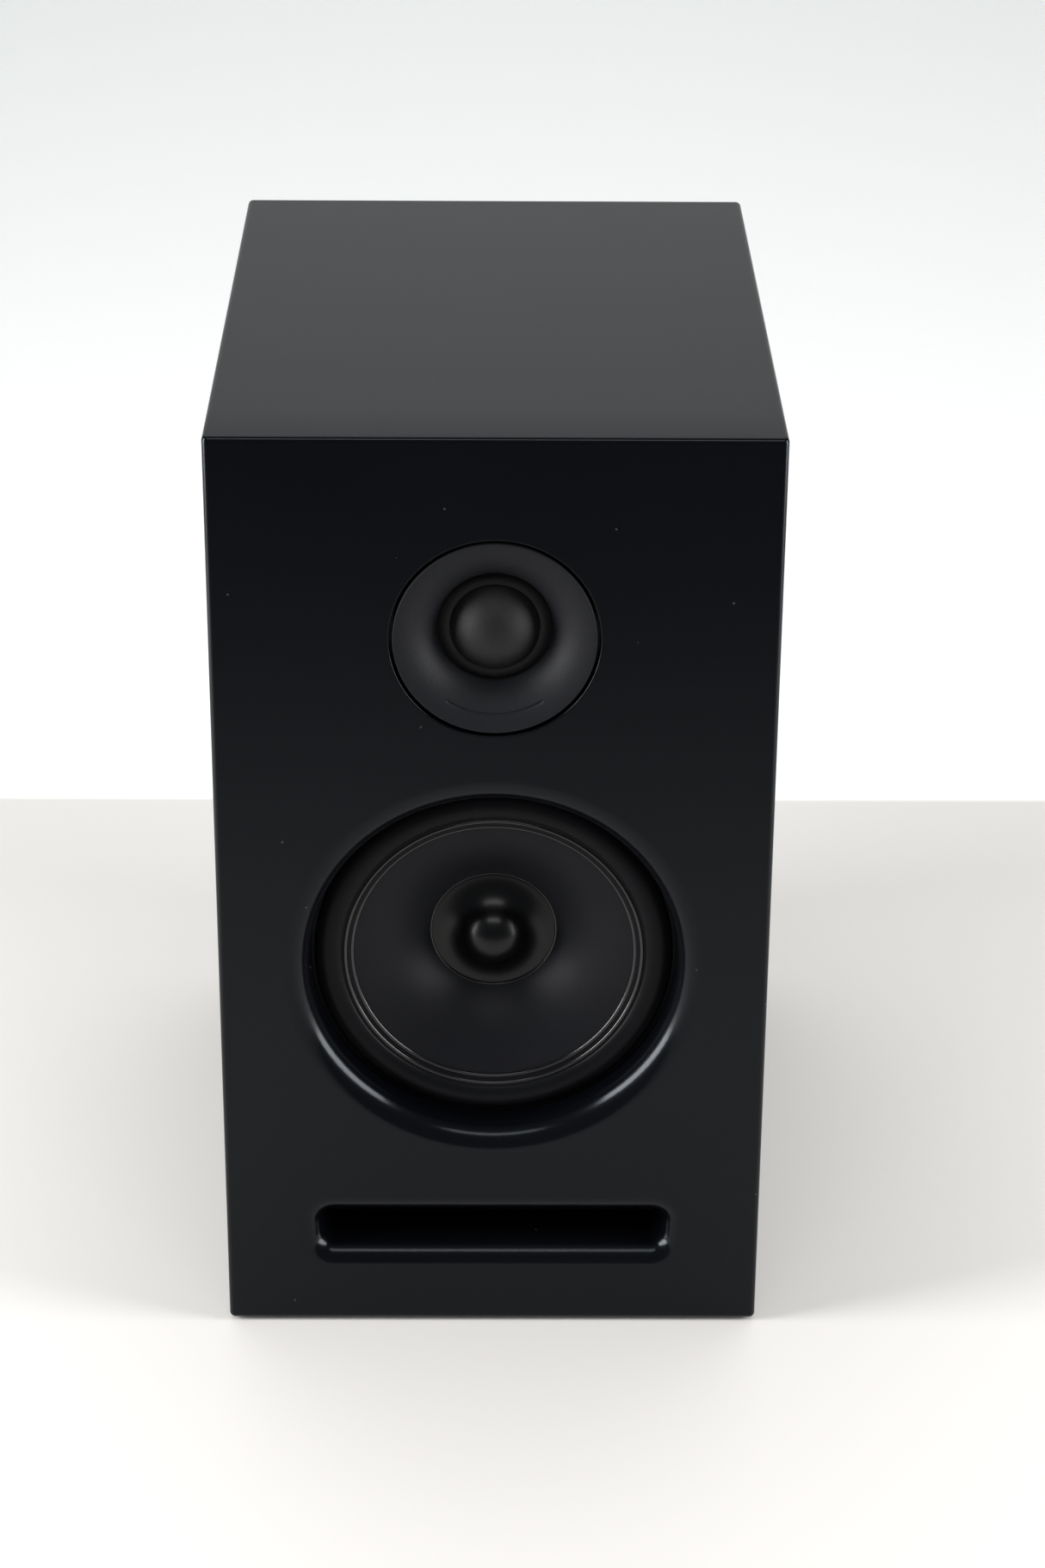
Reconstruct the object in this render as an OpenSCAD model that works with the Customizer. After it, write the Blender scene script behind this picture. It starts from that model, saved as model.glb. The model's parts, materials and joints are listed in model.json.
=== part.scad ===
// Two-way bookshelf loudspeaker: a painted box with a slot port, a 130 mm
// woofer, a dome tweeter in a shallow horn, and a crossover on the back panel.
// Millimetres. +Z is up and the baffle faces -Y. The origin is on the surface
// that the pads stand on, under the middle of the box.

/* [Cabinet] */
// Width across the side panels
cab_w = 185; // [174:1:240]
// Height of the box above its pads
cab_h = 330; // [322:1:420]
// Depth from the baffle's face to the back edges
cab_d = 255; // [210:1:330]
// Radius of every outer edge
edge_r = 2; // [1:0.5:4]
// Thickness of the front baffle
baffle_t = 25; // [22:1:32]
// Thickness of the other panels
panel_t = 15; // [13:0.5:19]
// How far the back panel's seat is cut into the walls
rebate_w = 9; // [8:0.5:10]
// Height of a foot pad
pad_h = 1; // [0.5:0.5:3]
// Radius of a foot pad
pad_r = 6; // [4:0.5:10]

/* [Port] */
// Height of the slot's axis above the box's underside
port_rise = 35.75; // [32:0.25:38]
// Width of the slot
slot_w = 118; // [80:1:124]
// Height of the slot
slot_h = 12.5; // [9:0.5:15]
// Radius of the slot's inner corners
slot_corner = 4; // [2:0.5:4.5]
// Radius of the slot's mouth
port_flare = 9; // [5:0.5:10]
// Length of the port from the baffle's face
port_len = 150; // [115:1:160]
// Wall of the duct
duct_t = 3; // [2:0.5:4]

/* [Woofer] */
// Height of the woofer's axis above the box's underside
woofer_rise = 139; // [136:1:142]
// Radius of the opening behind the woofer's flare
woofer_hole_r = 62; // [60:0.5:64]
// Radius of the flare round the opening
woofer_flare = 9; // [5:0.5:9]
// Depth of the woofer's seat behind the baffle's face
woofer_seat = 14; // [12:0.5:16]
// Radius of the basket's flange
flange_r = 70; // [69:0.5:71]
// Thickness of the basket's flange
flange_t = 3.8; // [3:0.2:5]
// Radius of the cone's rim
cone_r = 51; // [48:0.5:53]
// Radius that the cone's side is bent to
cone_bend = 52.4; // [50:0.2:64]
// Thickness of the cone
cone_t = 0.8; // [0.5:0.1:1.2]
// Radius of the dust cap
cap_r = 21.4; // [19:0.2:24]
// Radius of the dust cap's tip
cap_tip_r = 12; // [10:0.5:14]
// Outer radius of the woofer's coil former
former_r = 16; // [14:0.5:17]
// Distance that the cone moves each way
travel = 5; // [3:0.5:6]
// Radius of the woofer's magnet
magnet_r = 42; // [38:1:46]

/* [Tweeter] */
// Distance of the tweeter's axis below the top of the box
tweeter_drop = 69.3; // [60:0.5:76]
// Radius of the tweeter's faceplate
plate_r = 33.1; // [32:0.1:35]
// Gap between the faceplate and its hole
plate_gap = 1.2; // [0.4:0.1:2]
// Depth of the faceplate's seat
plate_seat = 6.5; // [6:0.5:8]
// Radius of the horn's throat
throat_r = 18.9; // [18:0.1:20]
// Depth of the horn's throat
throat_depth = 10.8; // [9:0.1:12]
// Radius of the dome
dome_r = 14.6; // [13:0.1:15]
// Radius of the sphere that the dome is cut from
dome_bend = 16.8; // [15.6:0.1:20]
// Distance that the dome moves each way
dome_travel = 0.4; // [0.2:0.1:0.5]

/* [Terminals] */
// Height of the terminal cup's axis above the box's underside
cup_rise = 84; // [76:1:96]
// Width of the cup's mouth
cup_w = 72; // [60:1:90]
// Height of the cup's mouth
cup_h = 48; // [42:1:60]
// Depth of the cup
cup_depth = 30; // [28:1:40]
// Distance between the two binding posts
post_pitch = 19; // [18:0.5:24]
// Radius of the plug hole in a post
socket_r = 2.05; // [2:0.05:2.2]
// Radius of a post's stem
stem_r = 3.2; // [3:0.1:3.6]
// Radius of a post's nut
nut_r = 7.5; // [6.5:0.1:8]
// Length of a post's nut
nut_len = 15; // [12:0.5:16]

/* [Crossover] */
// Height of the board's middle above the box's underside
board_rise = 195; // [185:1:210]
// Width of the board
board_w = 120; // [110:1:130]
// Height of the board
board_h = 104; // [100:1:120]
// Height of a standoff
standoff_h = 8; // [5:0.5:12]

/* [Hidden] */

$fn = 96;
slack = 0.3;   // gap between pieces that fit without glue
glue = 0.15;   // glue line between a moving piece and a fixed one
bite = 0.05;   // gap round a screw's thread
over = 1;      // how far a cutter runs past a face
lift = 0.05;   // how far a flare's cutter stands proud of the face
bend_steps = 7;

paint = [0.07, 0.072, 0.078];
bare_board = [0.62, 0.48, 0.34];
black_plastic = [0.13, 0.13, 0.14];
steel = [0.62, 0.63, 0.65];
copper = [0.72, 0.4, 0.22];
brass = [0.86, 0.68, 0.3];

// Places that the whole cabinet shares
half_w = cab_w / 2;
front_y = -cab_d / 2;
back_y = cab_d / 2;
base_z = pad_h;
mid_z = pad_h + cab_h / 2;
top_z = pad_h + cab_h;
inner_w = cab_w - 2 * panel_t;
port_z = base_z + port_rise;
woofer_z = base_z + woofer_rise;
tweeter_z = top_z - tweeter_drop;
cup_z = base_z + cup_rise;
board_z = base_z + board_rise;

// Back panel, its gasket and its screws
gasket_t = 1.5;
seat_half_w = half_w - panel_t + rebate_w;
seat_half_h = cab_h / 2 - panel_t + rebate_w;
back_screw_x = half_w - panel_t + rebate_w / 2;
back_screw_z = cab_h / 2 - panel_t + rebate_w / 2;
back_screw_reach = cab_h / 2 - 40;
back_screw_len = 30;
back_screw_spots = concat(
  [for (x = [-1, 1], z = [-1, 0, 1]) [x * back_screw_x, mid_z + z * back_screw_reach]],
  [for (z = [-1, 1]) [0, mid_z + z * back_screw_z]]);
wood_screw_r = 1.75;
wood_head_r = 3.5;

// Woofer, as depths behind the baffle's face
woofer_rebate_r = flange_r + 0.5;
gasket_d = 1.2;
flange_d = woofer_seat + gasket_d;
rim_d = woofer_seat - 0.7;
rim_slope = 11.85;
bend_x = cone_r + cone_bend * sin(rim_slope);
bend_d = rim_d + cone_bend * cos(rim_slope);
neck_r = former_r + bite;
neck_d = cone_depth(neck_r);
spider_d = neck_d + 6;
spider_wave = 1.5;
spider_r = 41;
floor_d = spider_d + spider_wave + travel + 2.5;
floor_t = 3;
plate_d = floor_d + floor_t;
plate_t = 6;
ferrite_d = plate_d + plate_t;
ferrite_t = 16;
yoke_d = ferrite_d + ferrite_t;
yoke_t = 6;
coil_len = 14;
coil_d = plate_d + plate_t / 2 - coil_len / 2;
coil_t = 0.9;
air_gap = 0.5;
surround_t = 0.8;
roll_in = cone_r + 0.5;
roll_out = woofer_hole_r - 1;
lip_in = cone_r - 3.2;
woofer_screw_r = flange_r - 3;
woofer_screws_at = [for (k = [0:5]) 30 + 60 * k];
woofer_screw_tip = 5.5;

// Tweeter, as depths behind the baffle's face
plate_hole_r = plate_r + plate_gap;
shelf_t = 8;
tweeter_rebate_r = plate_r + 4.9;
motor_r = 26;
motor_hole_r = motor_r + 1.5;
throat_wall = 1.2;
seat_in_plate = throat_depth + throat_wall;
plate_back = seat_in_plate + 1;
plate_face = 0.1;
horn_out = plate_r - 0.5;
horn_in = throat_r + 0.3;
dome_t = 0.4;
dome_base = throat_depth - 0.2;
dome_centre = dome_base + sqrt(dome_bend * dome_bend - dome_r * dome_r);
clamp_r = throat_r + 3;
tweeter_coil_r = 14;
tweeter_gap = 0.5;
tweeter_plate_d = plate_back;
tweeter_plate_t = 3;
tweeter_ferrite_t = 7;
tweeter_yoke_d = tweeter_plate_d + tweeter_plate_t + tweeter_ferrite_t;
tweeter_yoke_t = 4;
chamber_r = 19;
chamber_len = 16;
tweeter_screw_at = [for (k = [0:2]) -90 + 120 * k];
tweeter_screw_r = plate_r - 2.3;
machine_screw_r = 1.6;
machine_head_r = 2.9;

// Port
mouth_t = 3;
duct_screw_x = slot_w / 2 - 8;
duct_screw_z = slot_h / 2 + duct_t + 3.4;
duct_flange_h = slot_h + 2 * duct_t + 13;

// Brace
brace_d = yoke_d + yoke_t + 12;
brace_t = panel_t;

// Terminal cup, as depths behind the back edges
cup_t = 2.5;
cup_floor_t = 3;
cup_lip = 9;
cup_lip_t = 2.5;
cup_gasket_t = 0.8;
cup_corner = 5;
lip_corner = 7;
collar_r = 6.6;
collar_d = cup_depth - 4;
washer_t = 1;
nut_d = collar_d - washer_t;
stem_end = 5;
stem_in = cup_depth + cup_floor_t + 12;
socket_len = 16;
nut_flank = 0.08;
wire_hole_r = 1.5;
post_x = post_pitch / 2;
cup_screw_x = cup_w / 2 + cup_lip - 4.5;
cup_screw_z = cup_h / 2 + cup_lip - 4.5;

// Crossover, as heights above the back panel's inner face
board_t = 1.6;
board_face = standoff_h + board_t;
board_hole_x = board_w / 2 - 6;
board_hole_z = board_h / 2 - 6;
standoff_r = 4;

// Depth of the cone's front face at a radius
function cone_depth(r) = bend_d - sqrt(pow(cone_bend, 2) - pow(bend_x - r, 2));

// Points of an arc about (cx, cy)
function arc(cx, cy, r, a0, a1, n = 12) =
  [for (i = [0:n]) let (a = a0 + (a1 - a0) * i / n) [cx + r * cos(a), cy + r * sin(a)]];

// Points of a shallow arc from p to q that stands out by rise at its middle
function bow(p, q, rise, n = 10) =
  let (d = q - p, c = norm(d), side = [d[1], -d[0]] / c, s = rise,
       r = (c * c / 4 + s * s) / (2 * s))
  [for (i = [0:n]) let (u = i / n - 0.5, h = sqrt(r * r - pow(u * c, 2)) - (r - s))
    p + d * (u + 0.5) + side * h];

// Outline of a rounded rectangle about its own middle
function rounded(w, h, r, n = bend_steps) = concat(
  arc(w / 2 - r, h / 2 - r, r, 0, 90, n),
  arc(r - w / 2, h / 2 - r, r, 90, 180, n),
  arc(r - w / 2, r - h / 2, r, 180, 270, n),
  arc(w / 2 - r, r - h / 2, r, 270, 360, n));

function reversed(v) = [for (i = [len(v) - 1:-1:0]) v[i]];

// Point at t on the curve that leaves p along a and reaches q along b
function curve(p, a, b, q, t) =
  pow(1 - t, 3) * p + 3 * t * pow(1 - t, 2) * (p + a)
  + 3 * t * t * (1 - t) * (q + b) + pow(t, 3) * q;

function along(path, i) =
  let (d = path[min(i + 1, len(path) - 1)] - path[max(i - 1, 0)]) d / norm(d);

function tube_ring(p, t, r, ref, n) =
  let (s = cross(t, ref) / norm(cross(t, ref)), u = cross(s, t))
  [for (k = [0:n - 1]) p + r * (cos(360 * k / n) * s + sin(360 * k / n) * u)];

// Frames: local Z is the depth into the box, from its front or from its back
module at_front(z, x = 0) translate([x, front_y, z]) rotate([-90, 0, 0]) children();
module at_back(z, x = 0) translate([x, back_y, z]) rotate([90, 0, 0]) children();
module on_board() at_back(board_z) translate([0, 0, panel_t]) children();

// Solid of revolution from points of [radius, depth]
module turned(points) rotate_extrude() polygon(points);

module ring(r_in, r_out, d0, d1) {
  rotate_extrude() translate([r_in, d0]) square([r_out - r_in, d1 - d0]);
}

module disc(r, d0, d1) translate([0, 0, d0]) cylinder(r = r, h = d1 - d0);

module plate(w, h, r, d0, d1) {
  translate([0, 0, d0]) linear_extrude(d1 - d0) polygon(rounded(w, h, r));
}

module box(w, h, d0, d1) {
  translate([-w / 2, -h / 2, d0]) cube([w, h, d1 - d0]);
}

// Closed skin through rings of points, each with the same number of points
module loft(rings) {
  n = len(rings[0]);
  last = len(rings) - 1;
  polyhedron(
    points = [for (r = rings) each r],
    faces = concat(
      [[for (k = [0:n - 1]) k]],
      [[for (k = [n - 1:-1:0]) last * n + k]],
      [for (i = [0:last - 1], k = [0:n - 1])
        let (a = i * n + k, b = i * n + (k + 1) % n) each [[a, a + n, b], [b, a + n, b + n]]]));
}

// Round wire along the curve from p to q
module wire(p, a, b, q, r, ref = [1, 0, 0], steps = 8, sides = 8) {
  path = [for (i = [0:steps]) curve(p, a, b, q, i / steps)];
  loft([for (i = [0:steps])
    tube_ring(path[i], i == 0 ? a / norm(a) : i == steps ? -b / norm(b) : along(path, i), r, ref, sides)]);
}

// Screw whose head stands on depth 0 and whose shank goes to -len
module pan_screw(len, r = wood_screw_r, head = wood_head_r, head_h = 2.4) {
  difference() {
    union() {
      cylinder(r = head, h = head_h);
      translate([0, 0, -len]) cylinder(r = r, h = len);
    }
    for (a = [0, 90]) translate([0, 0, head_h - 0.4]) rotate(a) cube([head * 1.2, 0.9, 2.4], center = true);
  }
}

// Screw whose flat head is level with depth 0 and whose shank goes to +len
module flat_screw(len, r = wood_screw_r, head = wood_head_r) {
  difference() {
    union() {
      cylinder(r1 = head, r2 = r, h = head - r);
      cylinder(r = r, h = len);
    }
    for (a = [0, 90]) rotate(a) cube([head * 1.2, 0.9, 2.6], center = true);
  }
}

module flat_screw_hole(len, r = wood_screw_r, head = wood_head_r) {
  translate([0, 0, -over]) cylinder(r = head + bite, h = over);
  cylinder(r1 = head + bite, r2 = r + bite, h = head - r);
  translate([0, 0, -over]) cylinder(r = r + bite, h = len + over);
}

// ---- Cabinet

module outer_block() {
  translate([0, 0, mid_z]) intersection() {
    linear_extrude(cab_h, center = true) polygon(rounded(cab_w, cab_d, edge_r));
    rotate([90, 0, 0]) linear_extrude(cab_d, center = true) polygon(rounded(cab_w, cab_h, edge_r));
    rotate([90, 0, 90]) linear_extrude(cab_w, center = true) polygon(rounded(cab_d, cab_h, edge_r));
  }
}

// Part of the box behind the baffle whose X and Z are inside an outline
module wall(outline) {
  color(paint) difference() {
    intersection() {
      outer_block();
      translate([0, back_y + over, 0]) rotate([90, 0, 0])
        linear_extrude(cab_d - baffle_t + over) polygon(outline);
    }
    at_back(mid_z) box(2 * seat_half_w, 2 * seat_half_h, -over, panel_t + gasket_t);
    for (s = back_screw_spots) at_back(s[1], s[0]) cylinder(r = wood_screw_r + bite, h = back_screw_len + over);
  }
}

// Corner of the mitre between two walls, outside and inside
function mitre_out(x, z) = [x * (half_w + over), mid_z + z * (cab_h / 2 + over)];
function mitre_in(x, z) = [x * (half_w - panel_t), mid_z + z * (cab_h / 2 - panel_t)];

module left_side() wall([mitre_out(-1, -1), mitre_in(-1, -1), mitre_in(-1, 1), mitre_out(-1, 1)]);
module right_side() wall([mitre_out(1, -1), mitre_out(1, 1), mitre_in(1, 1), mitre_in(1, -1)]);
module top_panel() wall([mitre_out(-1, 1), mitre_in(-1, 1), mitre_in(1, 1), mitre_out(1, 1)]);
module bottom_panel() wall([mitre_out(-1, -1), mitre_out(1, -1), mitre_in(1, -1), mitre_in(-1, -1)]);

// Rounded mouth and straight bore of the woofer's hole
module woofer_mouth() {
  turned(concat(
    [[0, -over], [woofer_hole_r + woofer_flare, -over]],
    arc(woofer_hole_r + woofer_flare, woofer_flare - lift, woofer_flare, -90, -180, 14),
    [[woofer_hole_r, woofer_seat + over], [0, woofer_seat + over]]));
}

function slot_ring(grow, d) =
  [for (p = rounded(slot_w + 2 * grow, slot_h + 2 * grow, slot_corner + grow, 5)) [p[0], p[1], d]];

module slot_mouth() {
  steps = 9;
  loft(concat(
    [slot_ring(port_flare, -over)],
    [for (i = [0:steps]) let (a = 90 * i / steps)
      slot_ring(port_flare * (1 - sin(a)), port_flare * (1 - cos(a)) - lift)],
    [slot_ring(0, baffle_t + over)]));
}

module front_baffle() {
  color(paint) difference() {
    intersection() {
      outer_block();
      translate([0, front_y + baffle_t / 2, mid_z])
        cube([cab_w + 2 * over, baffle_t, cab_h + 2 * over], center = true);
    }
    at_front(woofer_z) {
      woofer_mouth();
      disc(woofer_rebate_r, woofer_seat, baffle_t + over);
      for (a = woofer_screws_at) rotate(a) translate([woofer_screw_r, 0, 0])
        disc(wood_screw_r + bite, woofer_screw_tip - 0.5, woofer_seat + over);
    }
    at_front(tweeter_z) {
      disc(plate_hole_r, -over, plate_seat);
      disc(motor_hole_r, 0, baffle_t);
      disc(tweeter_rebate_r, plate_seat + shelf_t, baffle_t + over);
      for (a = tweeter_screw_at) rotate(a) translate([tweeter_screw_r, 0, 0])
        disc(machine_screw_r + slack, plate_seat - over, plate_seat + shelf_t + over);
    }
    at_front(port_z) {
      slot_mouth();
      for (x = [-1, 1], z = [-1, 1]) translate([x * duct_screw_x, z * duct_screw_z, 0])
        disc(wood_screw_r + bite, baffle_t - 14, baffle_t + over);
    }
  }
}

module back_panel() {
  color(paint) difference() {
    at_back(mid_z) box(2 * (seat_half_w - slack), 2 * (seat_half_h - slack), 0, panel_t);
    at_back(cup_z) {
      plate(cup_w + 2 * (cup_lip + slack), cup_h + 2 * (cup_lip + slack), lip_corner,
        -over, cup_lip_t + cup_gasket_t);
      plate(cup_w + 2 * (cup_t + slack), cup_h + 2 * (cup_t + slack), cup_corner + cup_t, 0, panel_t + over);
      for (x = [-1, 1], z = [-1, 1]) translate([x * cup_screw_x, z * cup_screw_z, 0])
        disc(machine_screw_r + bite, 0, 12.5);
    }
    for (s = back_screw_spots) at_back(s[1], s[0]) flat_screw_hole(panel_t + over);
    on_board() for (x = [-1, 1], z = [-1, 1])
      translate([x * board_hole_x, z * board_hole_z, -8]) cylinder(r = machine_screw_r + bite, h = 8 + over);
  }
}

module back_gasket() {
  color([0.1, 0.1, 0.1]) difference() {
    at_back(mid_z) box(2 * (seat_half_w - 2 * slack), 2 * (seat_half_h - 2 * slack), panel_t, panel_t + gasket_t);
    at_back(mid_z) box(inner_w + 1, cab_h - 2 * panel_t + 1, panel_t - over, panel_t + gasket_t + over);
    for (s = back_screw_spots) at_back(s[1], s[0]) cylinder(r = wood_screw_r + slack, h = panel_t + 3);
  }
}

module back_screws() {
  color([0.15, 0.15, 0.16]) for (s = back_screw_spots) at_back(s[1], s[0]) flat_screw(back_screw_len);
}

module window_brace() {
  low = 92;
  high = 76;
  color(bare_board) difference() {
    at_front(mid_z) box(inner_w, cab_h - 2 * panel_t, brace_d, brace_d + brace_t);
    at_front(woofer_z + 4) plate(inner_w - 40, low, 14, brace_d - over, brace_d + brace_t + over);
    at_front(tweeter_z - 8) plate(inner_w - 40, high, 14, brace_d - over, brace_d + brace_t + over);
    at_front(port_z) plate(slot_w + 2 * (duct_t + slack), slot_h + 2 * (duct_t + slack), slot_corner + duct_t,
      brace_d - over, brace_d + brace_t + over);
  }
}

module foot_pads() {
  inset = 18;
  color([0.06, 0.06, 0.06]) for (x = [-1, 1], y = [-1, 1])
    translate([x * (half_w - inset), y * (cab_d / 2 - inset), 0]) cylinder(r = pad_r, h = pad_h);
}

module port_duct() {
  color(black_plastic) at_front(port_z) difference() {
    union() {
      plate(slot_w + 2 * duct_t, slot_h + 2 * duct_t, slot_corner + duct_t, baffle_t, port_len);
      plate(slot_w + 12, duct_flange_h, 6, baffle_t, baffle_t + mouth_t);
    }
    plate(slot_w, slot_h, slot_corner, baffle_t - over, port_len + over);
    for (x = [-1, 1], z = [-1, 1]) translate([x * duct_screw_x, z * duct_screw_z, 0])
      disc(wood_screw_r + slack, baffle_t - over, baffle_t + mouth_t + over);
  }
}

module port_duct_screws() {
  color(steel) at_front(port_z) for (x = [-1, 1], z = [-1, 1])
    translate([x * duct_screw_x, z * duct_screw_z, baffle_t + mouth_t]) pan_screw(14, head = 3);
}

// ---- Woofer

module woofer_basket() {
  wall_t = 2.5;
  bowl = [[flange_r - 10.5, flange_d], [flange_r, flange_d], [flange_r, flange_d + flange_t],
    [flange_r - 6, flange_d + flange_t], [spider_r + 5.5, floor_d + floor_t], [22, floor_d + floor_t],
    [22, floor_d], [spider_r + 5.5 - wall_t, floor_d], [flange_r - 10.5, flange_d + flange_t + 3]];
  color([0.2, 0.2, 0.21]) at_front(woofer_z) {
    difference() {
      union() {
        turned(bowl);
        ring(spider_r - 4.5, spider_r + 8, spider_d + 1.2, spider_d + 3.2);
      }
      for (k = [0:3]) rotate(45 * k)
        translate([-flange_r - over, -12, flange_d + flange_t + 3.5])
          cube([2 * (flange_r + over), 24, spider_d + 1.2 - flange_d - flange_t - 3.5]);
      for (a = woofer_screws_at) rotate(a) translate([woofer_screw_r, 0, 0])
        disc(wood_screw_r + slack, flange_d - over, flange_d + flange_t + over);
    }
  }
}

module woofer_gasket() {
  color([0.12, 0.12, 0.12]) at_front(woofer_z) difference() {
    ring(roll_out + 3.2, flange_r, woofer_seat, flange_d);
    for (a = woofer_screws_at) rotate(a) translate([woofer_screw_r, 0, 0])
      disc(wood_screw_r + slack, woofer_seat - over, flange_d + over);
  }
}

// Half roll between the basket and the cone's rim
module woofer_surround() {
  inner = [roll_in, rim_d - 0.1];
  outer = [roll_out, flange_d - surround_t];
  lip = [for (r = [lip_in:(roll_in - lip_in) / 3:roll_in + 0.001]) [r, cone_depth(min(r, cone_r)) - glue]];
  top = concat([for (p = lip) p - [0, surround_t * 0.7]], bow(inner - [0, 0.65], outer - [0, 0], 2.4));
  under = concat([for (p = lip) p], bow(inner + [0, 0.1], outer + [0, surround_t], 2.4));
  color([0.1, 0.1, 0.11]) at_front(woofer_z) turned(concat(
    top, [[roll_out + 3, flange_d - surround_t], [roll_out + 3, flange_d]], reversed(under)));
}

module woofer_cone() {
  steps = 14;
  radii = [for (i = [0:steps]) neck_r + (cone_r - neck_r) * i / steps];
  color([0.16, 0.16, 0.18]) at_front(woofer_z) turned(concat(
    [for (r = radii) [r, cone_depth(r)]],
    [for (r = reversed(radii)) [r, cone_depth(r) + cone_t * (1 + 0.9 * (cone_r - r) / cone_r)]]));
}

// Bell: a round tip that runs out to a flat edge on the cone
module woofer_dust_cap() {
  lean = 55;
  edge_d = cone_depth(cap_r);
  sweep_r = (cap_r - cap_tip_r * sin(lean)) / sin(lean);
  tip_centre = edge_d - sweep_r * (1 - cos(lean)) + cap_tip_r * cos(lean);
  skin = 0.8;
  function bell(off) = concat(
    arc(0, tip_centre, cap_tip_r - off, -90, -90 + lean, 8),
    arc(cap_r, edge_d - sweep_r, sweep_r + off, 90 + lean, 92, 7));
  foot = cap_r - 1.1;
  color([0.15, 0.15, 0.17]) at_front(woofer_z) turned(concat(
    bell(0), [[foot, edge_d + skin]],
    reversed([for (p = bell(skin)) if (p[0] < foot) p])));
}

module woofer_coil_former() {
  color([0.8, 0.75, 0.55]) at_front(woofer_z)
    ring(former_r - 0.3, former_r, neck_d - 1.5, coil_d + coil_len + 1.5);
}

module woofer_voice_coil() {
  color(copper) at_front(woofer_z) ring(former_r + 0.01, former_r + coil_t, coil_d, coil_d + coil_len);
}

// Corrugated disc that centres the coil
module woofer_spider() {
  inner = former_r + glue;
  steps = 30;
  waves = 4;
  flat = 4;
  function height(r) = (r > spider_r - flat) ? 0.6
    : spider_wave * sin(360 * waves * (r - inner) / (spider_r - flat - inner)) * 0.9;
  radii = [for (i = [0:steps]) inner + (spider_r - flat - inner) * i / steps];
  color([0.75, 0.6, 0.3]) at_front(woofer_z) turned(concat(
    [for (r = radii) [r, spider_d + height(r)]],
    [[spider_r - flat + 1, spider_d + 0.6], [spider_r, spider_d + 0.6], [spider_r, spider_d + 1.2],
      [spider_r - flat + 1, spider_d + 1.2]],
    [for (r = reversed(radii)) [r, spider_d + height(r) + 0.6]]));
}

module woofer_top_plate() {
  color(steel) at_front(woofer_z) ring(former_r + coil_t + air_gap, magnet_r - 2, plate_d, plate_d + plate_t);
}

module woofer_magnet() {
  color([0.25, 0.25, 0.26]) at_front(woofer_z) ring(former_r + 4, magnet_r, ferrite_d, yoke_d);
}

module woofer_yoke() {
  vent = 4;
  pole = former_r - 0.3 - air_gap;
  color(steel) at_front(woofer_z) turned([[vent, plate_d], [pole, plate_d], [pole, yoke_d],
    [magnet_r, yoke_d], [magnet_r, yoke_d + yoke_t - 1], [magnet_r - 1, yoke_d + yoke_t], [vent, yoke_d + yoke_t]]);
}

// Strip on the spider's ring, out through a window of the basket
module woofer_terminals() {
  strip_d = spider_d + 1.2;
  color([0.55, 0.35, 0.18]) at_front(woofer_z) rotate(-90) union() {
    translate([spider_r + 1, -10, strip_d - 1.8]) cube([22, 20, 1.8]);
    for (y = [-1, 1]) {
      translate([spider_r + 15, y * 5 - 2.4, strip_d - 2.6]) cube([13, 4.8, 0.8]);
      translate([spider_r + 3.5, y * 5, strip_d - 2.6]) cylinder(r = 1.6, h = 0.8);
    }
  }
}

module woofer_tinsel_leads() {
  start_r = spider_r + 3.5;
  end_r = cone_r / 2;
  end_d = cone_depth(end_r) + 2.9;
  color(copper) at_front(woofer_z) rotate(-90) for (y = [-1, 1])
    wire([start_r, y * 5, spider_d - 2.2], [-1, 0, -9], [5, 0, 7], [end_r, y * 5, end_d], 0.7, ref = [0, 1, 0]);
}

module woofer_screws() {
  color([0.15, 0.15, 0.16]) at_front(woofer_z) for (a = woofer_screws_at) rotate(a)
    translate([woofer_screw_r, 0, flange_d + flange_t])
      pan_screw(flange_d + flange_t - woofer_screw_tip, head = 2.9);
}

// ---- Tweeter

// Horn's face from its rim to its throat, as one arc
module tweeter_faceplate() {
  drop = throat_depth - 0.6 - plate_face;
  run = horn_out - horn_in;
  mean = atan(drop / run);
  start = 12;
  finish = 2 * mean - start;
  bend = run / (sin(finish) - sin(start));
  horn = [for (i = [0:12]) let (s = start + (finish - start) * i / 12)
    [horn_out + bend * (sin(start) - sin(s)), plate_face + bend * (cos(start) - cos(s))]];
  mark_r = (horn_out + horn_in) / 2 + 1.5;
  mark_slope = asin(sin(start) + (horn_out - mark_r) / bend);
  mark_d = plate_face + bend * (cos(start) - cos(mark_slope));
  color([0.2, 0.2, 0.22]) at_front(tweeter_z) difference() {
    turned(concat(
      [[plate_r - 0.3, plate_face]], horn,
      [[throat_r, throat_depth], [throat_r, seat_in_plate], [clamp_r + 0.2, seat_in_plate],
        [clamp_r + 0.2, plate_back], [motor_r, plate_back], [motor_r, plate_seat], [plate_r, plate_seat],
        [plate_r, plate_face + 0.3]]));
    rotate(55) rotate_extrude(angle = 70) translate([mark_r, mark_d]) circle(0.35, $fn = 16);
    for (a = tweeter_screw_at) rotate(a) translate([tweeter_screw_r, 0, 0])
      disc(machine_screw_r + bite, 2.6, plate_seat + over);
  }
}

module tweeter_dome() {
  lean = asin(dome_r / dome_bend);
  color([0.12, 0.12, 0.13]) at_front(tweeter_z) turned(concat(
    arc(0, dome_centre, dome_bend, -90, -90 + lean, 10),
    [[dome_r, dome_base + 0.4], [tweeter_coil_r, dome_base + 0.4]],
    arc(0, dome_centre, dome_bend - dome_t, -90 + asin((tweeter_coil_r - 0.3) / (dome_bend - dome_t)), -90, 10)));
}

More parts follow.
